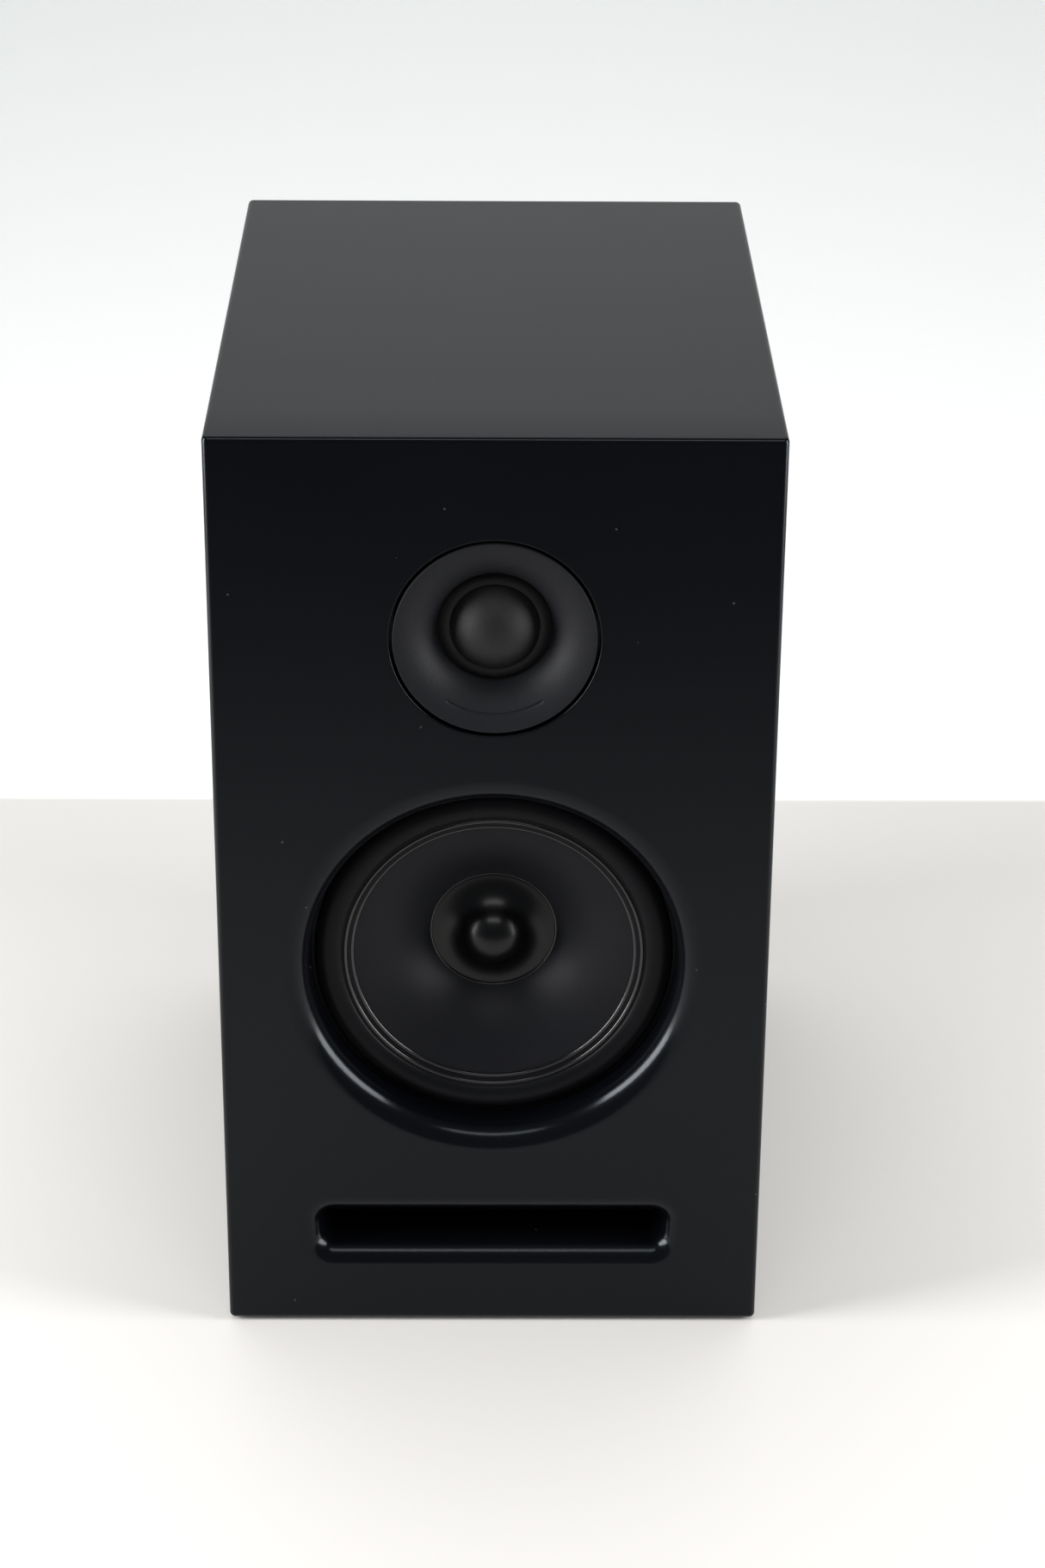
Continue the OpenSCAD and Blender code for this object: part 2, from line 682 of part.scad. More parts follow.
module tweeter_surround() {
  inner = [dome_r + glue, dome_base + 0.2];
  outer = [throat_r - 0.4, seat_in_plate];
  rise = 1.2;
  color([0.12, 0.12, 0.13]) at_front(tweeter_z) turned(concat(
    bow(inner, outer, rise),
    [[clamp_r, seat_in_plate], [clamp_r, seat_in_plate + dome_t]],
    reversed(bow(inner + [0, dome_t], outer + [0, dome_t], rise))));
}

module tweeter_voice_coil() {
  color(copper) at_front(tweeter_z)
    ring(tweeter_coil_r - 0.35, tweeter_coil_r, dome_base + 0.41, tweeter_plate_d + tweeter_plate_t + 0.6);
}

module tweeter_top_plate() {
  color(steel) at_front(tweeter_z)
    ring(tweeter_coil_r + tweeter_gap, motor_r, tweeter_plate_d, tweeter_plate_d + tweeter_plate_t);
}

module tweeter_magnet() {
  color([0.25, 0.25, 0.26]) at_front(tweeter_z)
    ring(tweeter_coil_r + 3, motor_r, tweeter_plate_d + tweeter_plate_t, tweeter_yoke_d);
}

module tweeter_yoke() {
  vent = 4;
  pole = tweeter_coil_r - 0.35 - tweeter_gap;
  color(steel) at_front(tweeter_z) turned([[vent, tweeter_plate_d], [pole, tweeter_plate_d], [pole, tweeter_yoke_d],
    [motor_r, tweeter_yoke_d], [motor_r, tweeter_yoke_d + tweeter_yoke_t], [vent, tweeter_yoke_d + tweeter_yoke_t]]);
}

// Closed cup that takes the air from behind the dome
module tweeter_rear_chamber() {
  d0 = tweeter_yoke_d + tweeter_yoke_t;
  wall_t = 2;
  color(black_plastic) at_front(tweeter_z) turned([[chamber_r - wall_t, d0], [chamber_r, d0],
    [chamber_r, d0 + chamber_len - 2], [chamber_r - 2, d0 + chamber_len], [0, d0 + chamber_len],
    [0, d0 + chamber_len - wall_t], [chamber_r - wall_t, d0 + chamber_len - wall_t]]);
}

module tweeter_terminals() {
  d0 = tweeter_yoke_d + tweeter_yoke_t;
  color([0.55, 0.35, 0.18]) at_front(tweeter_z) rotate(90) union() {
    translate([chamber_r + 0.6, -9, d0]) cube([5.6, 18, 3]);
    for (y = [-1, 1]) translate([chamber_r + 3, y * 5 - 1.6, d0 + 3]) cube([0.8, 3.2, 7]);
  }
}

module tweeter_screws() {
  color([0.15, 0.15, 0.16]) at_front(tweeter_z) for (a = tweeter_screw_at) rotate(a)
    translate([tweeter_screw_r, 0, plate_seat + shelf_t])
      pan_screw(plate_seat + shelf_t - 3, r = machine_screw_r, head = machine_head_r, head_h = 2);
}

// ---- Terminals

module cup_screw_spots() for (x = [-1, 1], z = [-1, 1]) translate([x * cup_screw_x, z * cup_screw_z, 0]) children();

module terminal_cup() {
  shell_d = cup_depth + cup_floor_t;
  color(black_plastic) at_back(cup_z) difference() {
    union() {
      plate(cup_w + 2 * cup_lip, cup_h + 2 * cup_lip, lip_corner, 0, cup_lip_t);
      plate(cup_w + 2 * cup_t, cup_h + 2 * cup_t, cup_corner + cup_t, 0, shell_d);
    }
    plate(cup_w, cup_h, cup_corner, -over, cup_depth);
    for (x = [-1, 1]) translate([x * post_x, 0, 0]) disc(stem_r + slack, cup_depth - over, shell_d + over);
    cup_screw_spots() flat_screw_hole(cup_lip_t + over, r = machine_screw_r, head = 3);
  }
}

module terminal_cup_gasket() {
  color([0.1, 0.1, 0.1]) at_back(cup_z) difference() {
    plate(cup_w + 2 * cup_lip, cup_h + 2 * cup_lip, lip_corner, cup_lip_t, cup_lip_t + cup_gasket_t);
    plate(cup_w + 2 * (cup_t + slack), cup_h + 2 * (cup_t + slack), cup_corner + cup_t, 0, panel_t);
    cup_screw_spots() disc(machine_screw_r + slack, 0, panel_t);
  }
}

module terminal_cup_screws() {
  color([0.15, 0.15, 0.16]) at_back(cup_z) cup_screw_spots() flat_screw(12, r = machine_screw_r, head = 3);
}

// Stem with a collar, a plug hole in its end and a cross hole for bare wire
module post(side, tint) {
  color(tint) at_back(cup_z, side * post_x) difference() {
    union() {
      disc(stem_r, stem_end, stem_in);
      disc(collar_r, collar_d, cup_depth);
    }
    disc(socket_r, stem_end - over, stem_end + socket_len);
    translate([0, 0, collar_d - wire_hole_r - 0.9]) rotate([90, 0, 0])
      cylinder(r = wire_hole_r, h = 4 * stem_r, center = true);
  }
}

module post_washer(side) {
  color(brass) at_back(cup_z, side * post_x) ring(stem_r + nut_flank, collar_r, nut_d, collar_d);
}

// Nut with ribs of grip round a plain bore
module post_nut(side, tint) {
  grips = 16;
  color(tint) at_back(cup_z, side * post_x) difference() {
    disc(nut_r, nut_d - nut_len, nut_d);
    disc(stem_r + nut_flank, nut_d - nut_len - over, nut_d + over);
    for (k = [0:grips - 1]) rotate(360 * k / grips) translate([nut_r + 0.35, 0, 0])
      disc(0.8, nut_d - nut_len + 2, nut_d - 1.5);
  }
}

module red_post() post(-1, brass);
module black_post() post(1, brass);
module red_post_washer() post_washer(-1);
module black_post_washer() post_washer(1);
module red_post_nut() post_nut(-1, [0.7, 0.06, 0.05]);
module black_post_nut() post_nut(1, [0.1, 0.1, 0.1]);

module post_lock_nuts() {
  d0 = cup_depth + cup_floor_t;
  color(brass) at_back(cup_z) for (x = [-1, 1]) translate([x * post_x, 0, d0]) difference() {
    cylinder(r = 6.2, h = 3, $fn = 6);
    translate([0, 0, -over]) cylinder(r = stem_r + bite, h = 3 + 2 * over);
  }
}

// ---- Crossover

module board_corners() for (x = [-1, 1], z = [-1, 1]) translate([x * board_hole_x, z * board_hole_z, 0]) children();

module crossover_board() {
  color([0.1, 0.35, 0.2]) on_board() difference() {
    translate([0, 0, standoff_h]) linear_extrude(board_t) polygon(rounded(board_w, board_h, 3, 3));
    board_corners() cylinder(r = machine_screw_r + slack, h = board_face + over);
  }
}

module board_standoffs() {
  color([0.85, 0.85, 0.82]) on_board() board_corners() difference() {
    cylinder(r = standoff_r, h = standoff_h);
    translate([0, 0, -over]) cylinder(r = machine_screw_r + slack, h = standoff_h + 2 * over);
  }
}

module board_screws() {
  color(steel) on_board() board_corners() translate([0, 0, board_face])
    pan_screw(board_face + 7, r = machine_screw_r, head = machine_head_r, head_h = 2);
}

// Air-cored coil that lies on the board
module choke(r, h, x, z) {
  color(copper) on_board() translate([x, z, board_face]) difference() {
    cylinder(r = r, h = h);
    translate([0, 0, -over]) cylinder(r = r * 0.45, h = h + 2 * over);
  }
}

module woofer_choke() choke(22, 20, board_w / 2 - 25, board_h / 2 - 37);
module tweeter_choke() choke(13, 14, 16 - board_w / 2, 22 - board_h / 2);

module film_capacitors() {
  color([0.85, 0.75, 0.2]) on_board() for (k = [0:1])
    translate([15 - board_w / 2, board_h / 2 - 23 - 22 * k, board_face + 9]) rotate([0, 90, 0]) cylinder(r = 9, h = 36);
}

module electrolytic_capacitor() {
  color([0.1, 0.12, 0.3]) on_board() translate([board_w / 2 - 26, 17 - board_h / 2, board_face]) cylinder(r = 8, h = 25);
}

module cement_resistors() {
  color([0.9, 0.88, 0.82]) on_board() for (k = [0:1])
    translate([-16, 8 - board_h / 2 + 15 * k, board_face]) cube([26, 10, 9]);
}

// ---- Wires

// Ends of the wires on the board, on the posts and on the drivers
function board_point(x, z) = [x, back_y - panel_t - board_face, board_z + z];
wire_r = 1.2;

module input_wires() {
  color([0.6, 0.1, 0.1]) for (x = [-1, 1])
    wire([x * post_x, back_y - stem_in - bite, cup_z], [0, -20, 0], [0, -30, 0],
      board_point(x * 6, 4 - board_h / 2) - [0, bite, 0], wire_r, steps = 12);
}

// These pass through the brace's upper window
module woofer_wires() {
  end_y = front_y + spider_d - 1;
  end_z = woofer_z + spider_r + 29;
  pass_z = tweeter_z - 36;
  rise = (pass_z - 0.27 * (board_z + 4) - 0.73 * end_z) / 0.44;
  color([0.1, 0.1, 0.3]) for (x = [-1, 1])
    wire(board_point(x * 5, 4) - [0, bite, 0], [0, -60, 0], [0, 60, rise],
      [x * 5, end_y, end_z], wire_r, steps = 12);
}

module tweeter_wires() {
  end_y = front_y + tweeter_yoke_d + tweeter_yoke_t + 10.2;
  color([0.3, 0.3, 0.1]) for (x = [-1, 1])
    wire(board_point(x * 5, board_h / 2 - 12) - [0, bite, 0], [0, -60, 0], [0, 60, 0],
      [x * 5, end_y + wire_r, tweeter_z - chamber_r - 3.4], wire_r);
}

// ---- Lining

lining_t = 10;

module side_lining() {
  depth = cab_d - brace_d - brace_t - panel_t - 40;
  color([0.35, 0.35, 0.38]) for (x = [-1, 1])
    translate([x * (inner_w - lining_t) / 2, front_y + brace_d + brace_t + 5 + depth / 2, mid_z + 12])
      cube([lining_t, depth, cab_h - 2 * panel_t - 60], center = true);
}

module top_lining() {
  depth = cab_d - brace_d - brace_t - panel_t - 40;
  color([0.35, 0.35, 0.38]) translate([0, front_y + brace_d + brace_t + 5 + depth / 2, top_z - panel_t - lining_t / 2])
    cube([inner_w - 2 * lining_t - 4, depth, lining_t], center = true);
}

front_baffle();
left_side();
right_side();
top_panel();
bottom_panel();
back_panel();
back_gasket();
back_screws();
window_brace();
foot_pads();
port_duct();
port_duct_screws();
woofer_basket();
woofer_gasket();
woofer_surround();
woofer_cone();
woofer_dust_cap();
woofer_coil_former();
woofer_voice_coil();
woofer_spider();
woofer_top_plate();
woofer_magnet();
woofer_yoke();
woofer_terminals();
woofer_tinsel_leads();
woofer_screws();
tweeter_faceplate();
tweeter_dome();
tweeter_surround();
tweeter_voice_coil();
tweeter_top_plate();
tweeter_magnet();
tweeter_yoke();
tweeter_rear_chamber();
tweeter_terminals();
tweeter_screws();
terminal_cup();
terminal_cup_gasket();
terminal_cup_screws();
red_post();
black_post();
red_post_washer();
black_post_washer();
red_post_nut();
black_post_nut();
post_lock_nuts();
crossover_board();
board_standoffs();
board_screws();
woofer_choke();
tweeter_choke();
film_capacitors();
electrolytic_capacitor();
cement_resistors();
input_wires();
woofer_wires();
tweeter_wires();
side_lining();
top_lining();
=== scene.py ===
import bpy, bmesh, json, math
import numpy as np
from mathutils import Matrix, Vector, noise as lumps
from mathutils.geometry import delaunay_2d_cdt

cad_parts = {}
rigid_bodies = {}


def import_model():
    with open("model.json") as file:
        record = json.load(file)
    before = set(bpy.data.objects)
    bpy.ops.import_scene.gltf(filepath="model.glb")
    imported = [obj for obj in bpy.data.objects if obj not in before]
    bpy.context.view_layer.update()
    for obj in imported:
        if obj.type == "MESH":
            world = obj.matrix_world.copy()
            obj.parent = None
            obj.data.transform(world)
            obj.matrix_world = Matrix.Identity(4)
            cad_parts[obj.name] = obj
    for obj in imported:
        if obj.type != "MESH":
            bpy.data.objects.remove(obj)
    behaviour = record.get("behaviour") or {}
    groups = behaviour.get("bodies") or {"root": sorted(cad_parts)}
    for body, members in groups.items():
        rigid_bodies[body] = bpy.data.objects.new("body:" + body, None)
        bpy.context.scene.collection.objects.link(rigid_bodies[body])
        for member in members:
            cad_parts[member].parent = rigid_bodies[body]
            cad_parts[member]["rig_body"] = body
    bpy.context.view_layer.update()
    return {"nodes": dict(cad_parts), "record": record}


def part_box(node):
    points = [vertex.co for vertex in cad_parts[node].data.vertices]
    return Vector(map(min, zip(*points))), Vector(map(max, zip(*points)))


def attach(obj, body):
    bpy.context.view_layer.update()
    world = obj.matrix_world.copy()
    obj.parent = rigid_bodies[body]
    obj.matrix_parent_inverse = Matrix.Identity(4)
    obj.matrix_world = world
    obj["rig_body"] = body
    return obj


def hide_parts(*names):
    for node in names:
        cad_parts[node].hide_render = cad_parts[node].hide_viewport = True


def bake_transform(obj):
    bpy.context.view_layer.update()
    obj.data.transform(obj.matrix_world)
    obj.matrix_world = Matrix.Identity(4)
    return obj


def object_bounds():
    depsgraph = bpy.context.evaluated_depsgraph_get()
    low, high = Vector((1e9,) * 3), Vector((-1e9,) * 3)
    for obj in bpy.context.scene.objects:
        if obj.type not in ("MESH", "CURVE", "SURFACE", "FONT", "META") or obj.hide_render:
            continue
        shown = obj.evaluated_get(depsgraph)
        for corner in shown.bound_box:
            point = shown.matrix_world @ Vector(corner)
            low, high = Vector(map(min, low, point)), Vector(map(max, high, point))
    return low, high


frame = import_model()
nodes = frame["nodes"]
scene = bpy.context.scene
print("frame loaded:", len(nodes), "nodes")

mm = 0.001
cabinetLow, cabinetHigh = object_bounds()
frontY, backY = cabinetLow.y, cabinetHigh.y


def middle(node):
    low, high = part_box(node)
    return (low + high) / 2


wooferZ = middle("woofer_cone").z
tweeterZ = middle("tweeter_dome").z
portZ = middle("port_duct").z
cupZ = middle("terminal_cup").z
intoFront = (math.radians(-90), 0, 0)  # turns local Z into the box, from its front
intoBack = (math.radians(90), 0, 0)  # and from its back


# Wraps a socket, so that sums on signals add their nodes to its tree
class Signal:
    def __init__(self, tree, socket=None):
        self.tree, self.socket = tree, socket

    def make(self, kind, settings=None, sockets=None, out=0):
        made = self.tree.nodes.new(kind)
        for name, value in (settings or {}).items():
            setattr(made, name, value)
        for name, value in (sockets or {}).items():
            if isinstance(value, Signal):
                self.tree.links.new(value.socket, made.inputs[name])
            else:
                made.inputs[name].default_value = value
        return Signal(self.tree, made.outputs[out]) if made.outputs else None

    def calc(self, operation, *values):
        return self.make("ShaderNodeMath", {"operation": operation}, dict(enumerate(values)))

    def apply(self, operation):
        return self.calc(operation, self)


# Makes one of Python's operators add a Math node; the reflected form has the signal on the right
def operator(operation, reflected=False):
    def run(self, other):
        return self.calc(operation, *((other, self) if reflected else (self, other)))
    return run


for name, operation in {"add": "ADD", "sub": "SUBTRACT", "mul": "MULTIPLY", "truediv": "DIVIDE"}.items():
    setattr(Signal, f"__{name}__", operator(operation))
    setattr(Signal, f"__r{name}__", operator(operation, True))
Signal.__pow__, Signal.__gt__, Signal.__lt__ = (operator(k) for k in ("POWER", "GREATER_THAN", "LESS_THAN"))


def shade(colour):
    return colour if isinstance(colour, Signal) else (*colour, 1.0)


def noise(place, scale, detail=2.0, rough=0.5, out="Fac"):
    return place.make("ShaderNodeTexNoise", None,
        {"Vector": place, "Scale": scale, "Detail": detail, "Roughness": rough}, out)


def cells(place, scale, feature="F1", out="Distance"):
    return place.make("ShaderNodeTexVoronoi", {"feature": feature}, {"Vector": place, "Scale": scale}, out)


def blendColour(mask, first, second):
    return mask.make("ShaderNodeMix", {"data_type": "RGBA"}, {0: mask, 6: shade(first), 7: shade(second)}, 2)


def between(value, low, high):
    return value.make("ShaderNodeMapRange", {"interpolation_type": "SMOOTHSTEP"},
        {"Value": value, "From Min": low, "From Max": high})


def stretched(place, scale):
    return place.make("ShaderNodeMapping", None, {"Vector": place, "Scale": scale}, "Vector")


def parts(place):
    return [place.make("ShaderNodeSeparateXYZ", None, {"Vector": place}, k) for k in range(3)]


def relief(height, strength, distance):
    return height.make("ShaderNodeBump", None,
        {"Strength": strength, "Distance": distance, "Height": height}, "Normal")


# Distance from the axis of a driver at height z
def around(place, z):
    px, _, pz = parts(place)
    return (px * px + (pz - z) * (pz - z)) ** 0.5


def coating(colour, rough, bump):
    return {"Base Color": colour, "Roughness": rough, "Normal": bump}


finishes = {}


def newFinish(slot, build, **fixed):
    material = bpy.data.materials.new(slot)
    material.use_nodes = True
    material.node_tree.nodes.clear()
    start = Signal(material.node_tree)
    place = start.make("ShaderNodeTexCoord", None, None, "Object")
    sockets = {name.replace("_", " "): value for name, value in fixed.items()}
    sockets.update(build(place))
    shader = start.make("ShaderNodeBsdfPrincipled", None, sockets, "BSDF")
    start.make("ShaderNodeOutputMaterial", None, {"Surface": shader})
    finishes[slot] = material


paintLook = {"base": (0.0012, 0.0014, 0.0022), "light": (0.0024, 0.0027, 0.0038),
    "rough": 0.12, "dust": 0.045}


def satinPaint(place):
    haze = noise(place, 9, 3)
    peel = noise(place, 620, 2, 0.55)
    fine = noise(place, 2600, 1)
    dots = cells(place, 130)
    lucky = place.make("ShaderNodeSeparateColor", None, {"Color": cells(place, 130, out="Color")}, 0)
    dust = (dots < 0.055) * (lucky > 0.86)
    scuff = between(noise(stretched(place, (60, 60, 4)), 5, 4, 0.6), 0.66, 0.8)
    colour = blendColour(haze, paintLook["base"], paintLook["light"])
    colour = blendColour(dust * 0.8, colour, [paintLook["dust"]] * 3)
    rough = paintLook["rough"] + haze * 0.07 + fine * 0.05 + scuff * 0.06 + dust * 0.2
    return coating(colour, rough, relief(peel * 0.8 + fine * 0.2 + dust * 1.5, 0.16, 0.00012))


def fibreboard(place):
    fibre = noise(stretched(place, (1, 1, 6)), 240, 4, 0.65)
    mottle = noise(place, 38, 3)
    chips = cells(place, 700)
    colour = blendColour(mottle, (0.33, 0.22, 0.125), (0.43, 0.31, 0.185))
    colour = blendColour(between(chips, 0.5, 0.9) * 0.4, colour, (0.2, 0.125, 0.065))
    return coating(colour, 0.78 + fibre * 0.16, relief(fibre + chips * 0.4, 0.4, 0.0003))


def hornPlastic(place):
    pits = cells(place, 1900)
    grain = noise(place, 1500, 3, 0.6)
    flow = noise(place, 30, 2)
    colour = blendColour(grain, (0.0068, 0.0072, 0.0092), (0.0125, 0.0131, 0.016))
    return coating(colour, 0.52 + flow * 0.08 - pits * 0.06, relief(grain * 0.7 + pits * 0.5, 0.5, 0.00009))


# Thread spacings of the two cloths, and the radii where the painted shade over the dome's roll begins and
# ends, in metres
clothLook = {"dome": 0.00042, "spider": 0.0009, "roll": (0.0150, 0.0172)}


def domeCloth(place):
    px, _, pz = parts(place)
    perMetre = 2 * math.pi / clothLook["dome"]
    weave = ((px * perMetre).apply("SINE") + 1) * 0.5 * (((pz * perMetre).apply("SINE") + 1) * 0.5)
    coat = noise(place, 2300, 3, 0.7)
    # Past these radii the cloth turns darker and rougher: painted shade over the roll round the dome
    roll = between(around(place, tweeterZ), *clothLook["roll"])
    colour = blendColour(weave * 0.6 + coat * 0.4, (0.002, 0.002, 0.0026), (0.012, 0.012, 0.0136))
    colour = blendColour(roll, colour, (0.0022, 0.0022, 0.0026))
    return coating(colour, 0.4 + coat * 0.2 + roll * 0.3, relief(weave * 0.6 + coat * 0.9, 0.55, 0.00012))


def surroundRubber(place):
    bloom = noise(place, 45, 3)
    fine = noise(place, 2400, 2, 0.6)
    mould = between((around(place, wooferZ) * 5200).apply("SINE"), 0.4, 1)
    colour = blendColour(bloom, (0.0034, 0.0036, 0.0045), (0.0058, 0.006, 0.0074))
    return coating(colour, 0.3 + bloom * 0.1 + fine * 0.05, relief(fine * 0.7 + mould * 0.12, 0.25, 0.00008))


def conePlastic(place):
    line = place.make("ShaderNodeCombineXYZ", None, {0: around(place, wooferZ)}, "Vector")
    rings = noise(line, 1500, 2, 0.6)
    mica = cells(place, 1500)
    cloud = noise(place, 26, 3)
    colour = blendColour(cloud, (0.0068, 0.0071, 0.009), (0.0102, 0.0107, 0.0132))
    colour = blendColour(between(mica, 0.12, 0.03) * 0.35, colour, (0.07, 0.07, 0.075))
    return coating(colour, 0.36 + cloud * 0.08 + rings * 0.05,
        relief(rings * 0.35 + mica * 0.25, 0.22, 0.00008))


def capPlastic(place):
    grain = noise(place, 1700, 2, 0.6)
    cloud = noise(place, 60, 2)
    colour = blendColour(cloud, (0.0011, 0.0012, 0.0017), (0.002, 0.0022, 0.0029))
    return coating(colour, 0.25 + cloud * 0.04 + grain * 0.04, relief(grain, 0.2, 0.00007))


def mouldedBlack(place):
    grain = noise(place, 1300, 3, 0.6)
    pits = cells(place, 1700)
    colour = blendColour(noise(place, 40, 2), (0.0115, 0.0117, 0.013), (0.0195, 0.0197, 0.0215))
    return coating(colour, 0.48 + grain * 0.14, relief(grain + pits * 0.5, 0.4, 0.00009))


def plated(low, high, rough, streak=900):
    def build(place):
        brushed = noise(stretched(place, (1, 12, 1)), streak, 3, 0.6)
        stain = noise(place, 70, 3)
        colour = blendColour(stain, low, high)
        return coating(colour, rough + brushed * 0.12 + stain * 0.08, relief(brushed, 0.12, 0.00004))
    return build


def plain(low, high, rough, bump=0.2, scale=900, size=0.00008):
    def build(place):
        grain = noise(place, scale, 3, 0.6)
        tone = noise(place, 60, 3)
        return coating(blendColour(tone, low, high), rough + tone * 0.08 + grain * 0.08,
            relief(grain, bump, size))
    return build


def copperWinding(place):
    turns = (parts(place)[1] * 7800).apply("SINE")
    shine = noise(place, 200, 3)
    colour = blendColour(shine, (0.36, 0.115, 0.042), (0.52, 0.19, 0.075))
    # Dark bands where the wire turns meet: painted shade in the grooves between turns
    colour = blendColour(between(turns, -0.4, -1) * 0.7, colour, (0.11, 0.03, 0.012))
    return coating(colour, 0.26 + shine * 0.15, relief(turns, 0.3, 0.0001))


def dippedCloth(place):
    px, _, pz = parts(place)
    perMetre = 2 * math.pi / clothLook["spider"]
    weave = ((px * perMetre).apply("SINE") * (pz * perMetre).apply("SINE") + 1) * 0.5
    resin = noise(place, 90, 3)
    colour = blendColour(resin, (0.46, 0.29, 0.075), (0.62, 0.43, 0.15))
    colour = blendColour(weave * 0.5, colour, (0.3, 0.17, 0.04))
    return coating(colour, 0.6 + weave * 0.2, relief(weave, 0.5, 0.0002))


def solderMask(place):
    trace = between(cells(stretched(place, (1, 0.01, 1)), 95, "DISTANCE_TO_EDGE"), 0.05, 0.075)
    cloud = noise(place, 160, 2)
    colour = blendColour(trace, (0.03, 0.16, 0.06), (0.012, 0.085, 0.032))
    return coating(colour, 0.3 + cloud * 0.12, relief(1 - trace, 0.25, 0.0001))


def acousticFelt(place):
    fuzz = noise(place, 900, 5, 0.75)
    strands = cells(stretched(place, (1, 1, 0.25)), 520)
    clump = noise(place, 70, 4, 0.6)
    colour = blendColour(clump, (0.05, 0.05, 0.055), (0.13, 0.13, 0.135))
    colour = blendColour(between(strands, 0.35, 0.1) * 0.5, colour, (0.24, 0.24, 0.24))
    return coating(colour, 0.86 + fuzz * 0.12, relief(fuzz + clump * 0.6, 0.9, 0.0007))


newFinish("cabinet_paint", satinPaint, Specular_IOR_Level=0.19, Specular_Tint=(0.86, 0.93, 1.0, 1.0))
newFinish("bare_board", fibreboard)
newFinish("black_screw", plated((0.012, 0.012, 0.013), (0.028, 0.028, 0.03), 0.3), Metallic=0.6)
newFinish("steel", plated((0.5, 0.5, 0.52), (0.62, 0.62, 0.64), 0.26), Metallic=1.0)
newFinish("duct_plastic", mouldedBlack)
newFinish("surround_rubber", surroundRubber, Specular_IOR_Level=0.09)
newFinish("cone_plastic", conePlastic, Specular_IOR_Level=0.11)
newFinish("cap_plastic", capPlastic, Specular_IOR_Level=0.28)
newFinish("coil_copper", copperWinding, Metallic=0.85)
newFinish("spider_cloth", dippedCloth)
newFinish("faceplate_plastic", hornPlastic, Specular_IOR_Level=0.14)
newFinish("dome_cloth", domeCloth, Specular_IOR_Level=0.32)
newFinish("cup_plastic", mouldedBlack)
newFinish("brass", plated((0.78, 0.5, 0.17), (0.88, 0.6, 0.24), 0.16), Metallic=1.0)
newFinish("red_plastic", plain((0.36, 0.008, 0.008), (0.45, 0.014, 0.012), 0.2, 0.12),
    Coat_Weight=0.6, Coat_Roughness=0.08)
newFinish("black_nut_plastic", plain((0.008, 0.008, 0.009), (0.014, 0.014, 0.015), 0.2, 0.12),
    Coat_Weight=0.6, Coat_Roughness=0.08)
newFinish("board_green", solderMask)
newFinish("film_yellow", plain((0.55, 0.3, 0.02), (0.63, 0.36, 0.035), 0.24, 0.15), Coat_Weight=0.4)
newFinish("sleeve_blue", plain((0.014, 0.024, 0.1), (0.024, 0.04, 0.15), 0.22, 0.1), Coat_Weight=0.5)
newFinish("tinsel", plated((0.5, 0.24, 0.1), (0.62, 0.34, 0.16), 0.32, 1600), Metallic=0.9)
newFinish("lining_felt", acousticFelt, Sheen_Weight=0.25)
newFinish("glue", plain((0.004, 0.004, 0.005), (0.008, 0.008, 0.009), 0.08, 0.2, 400, 0.0001),
    Specular_IOR_Level=0.6)

# Dark and light tone, roughness, bump strength, grain scale and grain depth
plainLooks = {
    "foot_felt": ((0.012, 0.012, 0.012), (0.024, 0.024, 0.025), 0.82, 0.7, 1500, 0.0002),
    "gasket_foam": ((0.011, 0.011, 0.012), (0.024, 0.024, 0.025), 0.8, 0.8, 2200, 0.0002),
    "basket_cast": ((0.013, 0.013, 0.014), (0.024, 0.024, 0.025), 0.46, 0.5, 1100, 0.00012),
    "former_film": ((0.5, 0.4, 0.17), (0.62, 0.52, 0.27), 0.36, 0.25, 1600),
    "ferrite": ((0.022, 0.022, 0.024), (0.045, 0.045, 0.048), 0.55, 0.45, 800, 0.00015),
    "terminal_board": ((0.15, 0.062, 0.022), (0.21, 0.092, 0.035), 0.42, 0.3, 1200),
    "nylon": ((0.6, 0.59, 0.54), (0.7, 0.69, 0.64), 0.42, 0.15),
    "cement_white": ((0.58, 0.55, 0.47), (0.7, 0.67, 0.58), 0.72, 0.8, 700, 0.0003),
    "wire_red": ((0.3, 0.012, 0.01), (0.38, 0.018, 0.014), 0.36, 0.1),
    "wire_blue": ((0.012, 0.022, 0.13), (0.018, 0.03, 0.18), 0.36, 0.1),
    "wire_yellow": ((0.42, 0.25, 0.015), (0.5, 0.31, 0.02), 0.36, 0.1),
}
for slot, look in plainLooks.items():
    newFinish(slot, plain(*look))

slotOf = {s["node"]: s["material_slot"] for s in frame["record"]["subparts"]}
for name, node in nodes.items():
    node.data.materials.clear()
    node.data.materials.append(finishes[slotOf[name]])
print("finishes made:", len(finishes))


def linked(name, data):
    thing = bpy.data.objects.new(name, data)
    scene.collection.objects.link(thing)
    return thing


# The mesh of an object with its modifiers applied; the object itself goes
def baked(thing):
    mesh = bpy.data.meshes.new_from_object(thing.evaluated_get(bpy.context.evaluated_depsgraph_get()))
    bpy.data.objects.remove(thing)
    return mesh


def tidyMesh(piece, sharpAngle):
    shape = bmesh.new()
    shape.from_mesh(piece.data)
    bmesh.ops.remove_doubles(shape, verts=shape.verts, dist=1e-6)
    bmesh.ops.dissolve_degenerate(shape, edges=shape.edges, dist=1e-7)
    bmesh.ops.recalc_face_normals(shape, faces=shape.faces)
    shape.to_mesh(piece.data)
    shape.free()
    piece.data.shade_smooth()
    piece.data.set_sharp_from_angle(angle=math.radians(sharpAngle))
    return piece


def newPiece(name, points, faces, slot, sharpAngle):
    mesh = bpy.data.meshes.new(name)
    mesh.from_pydata([tuple(p) for p in points], [], faces)
    mesh.materials.append(finishes[slot])
    return tidyMesh(linked(name, mesh), sharpAngle)


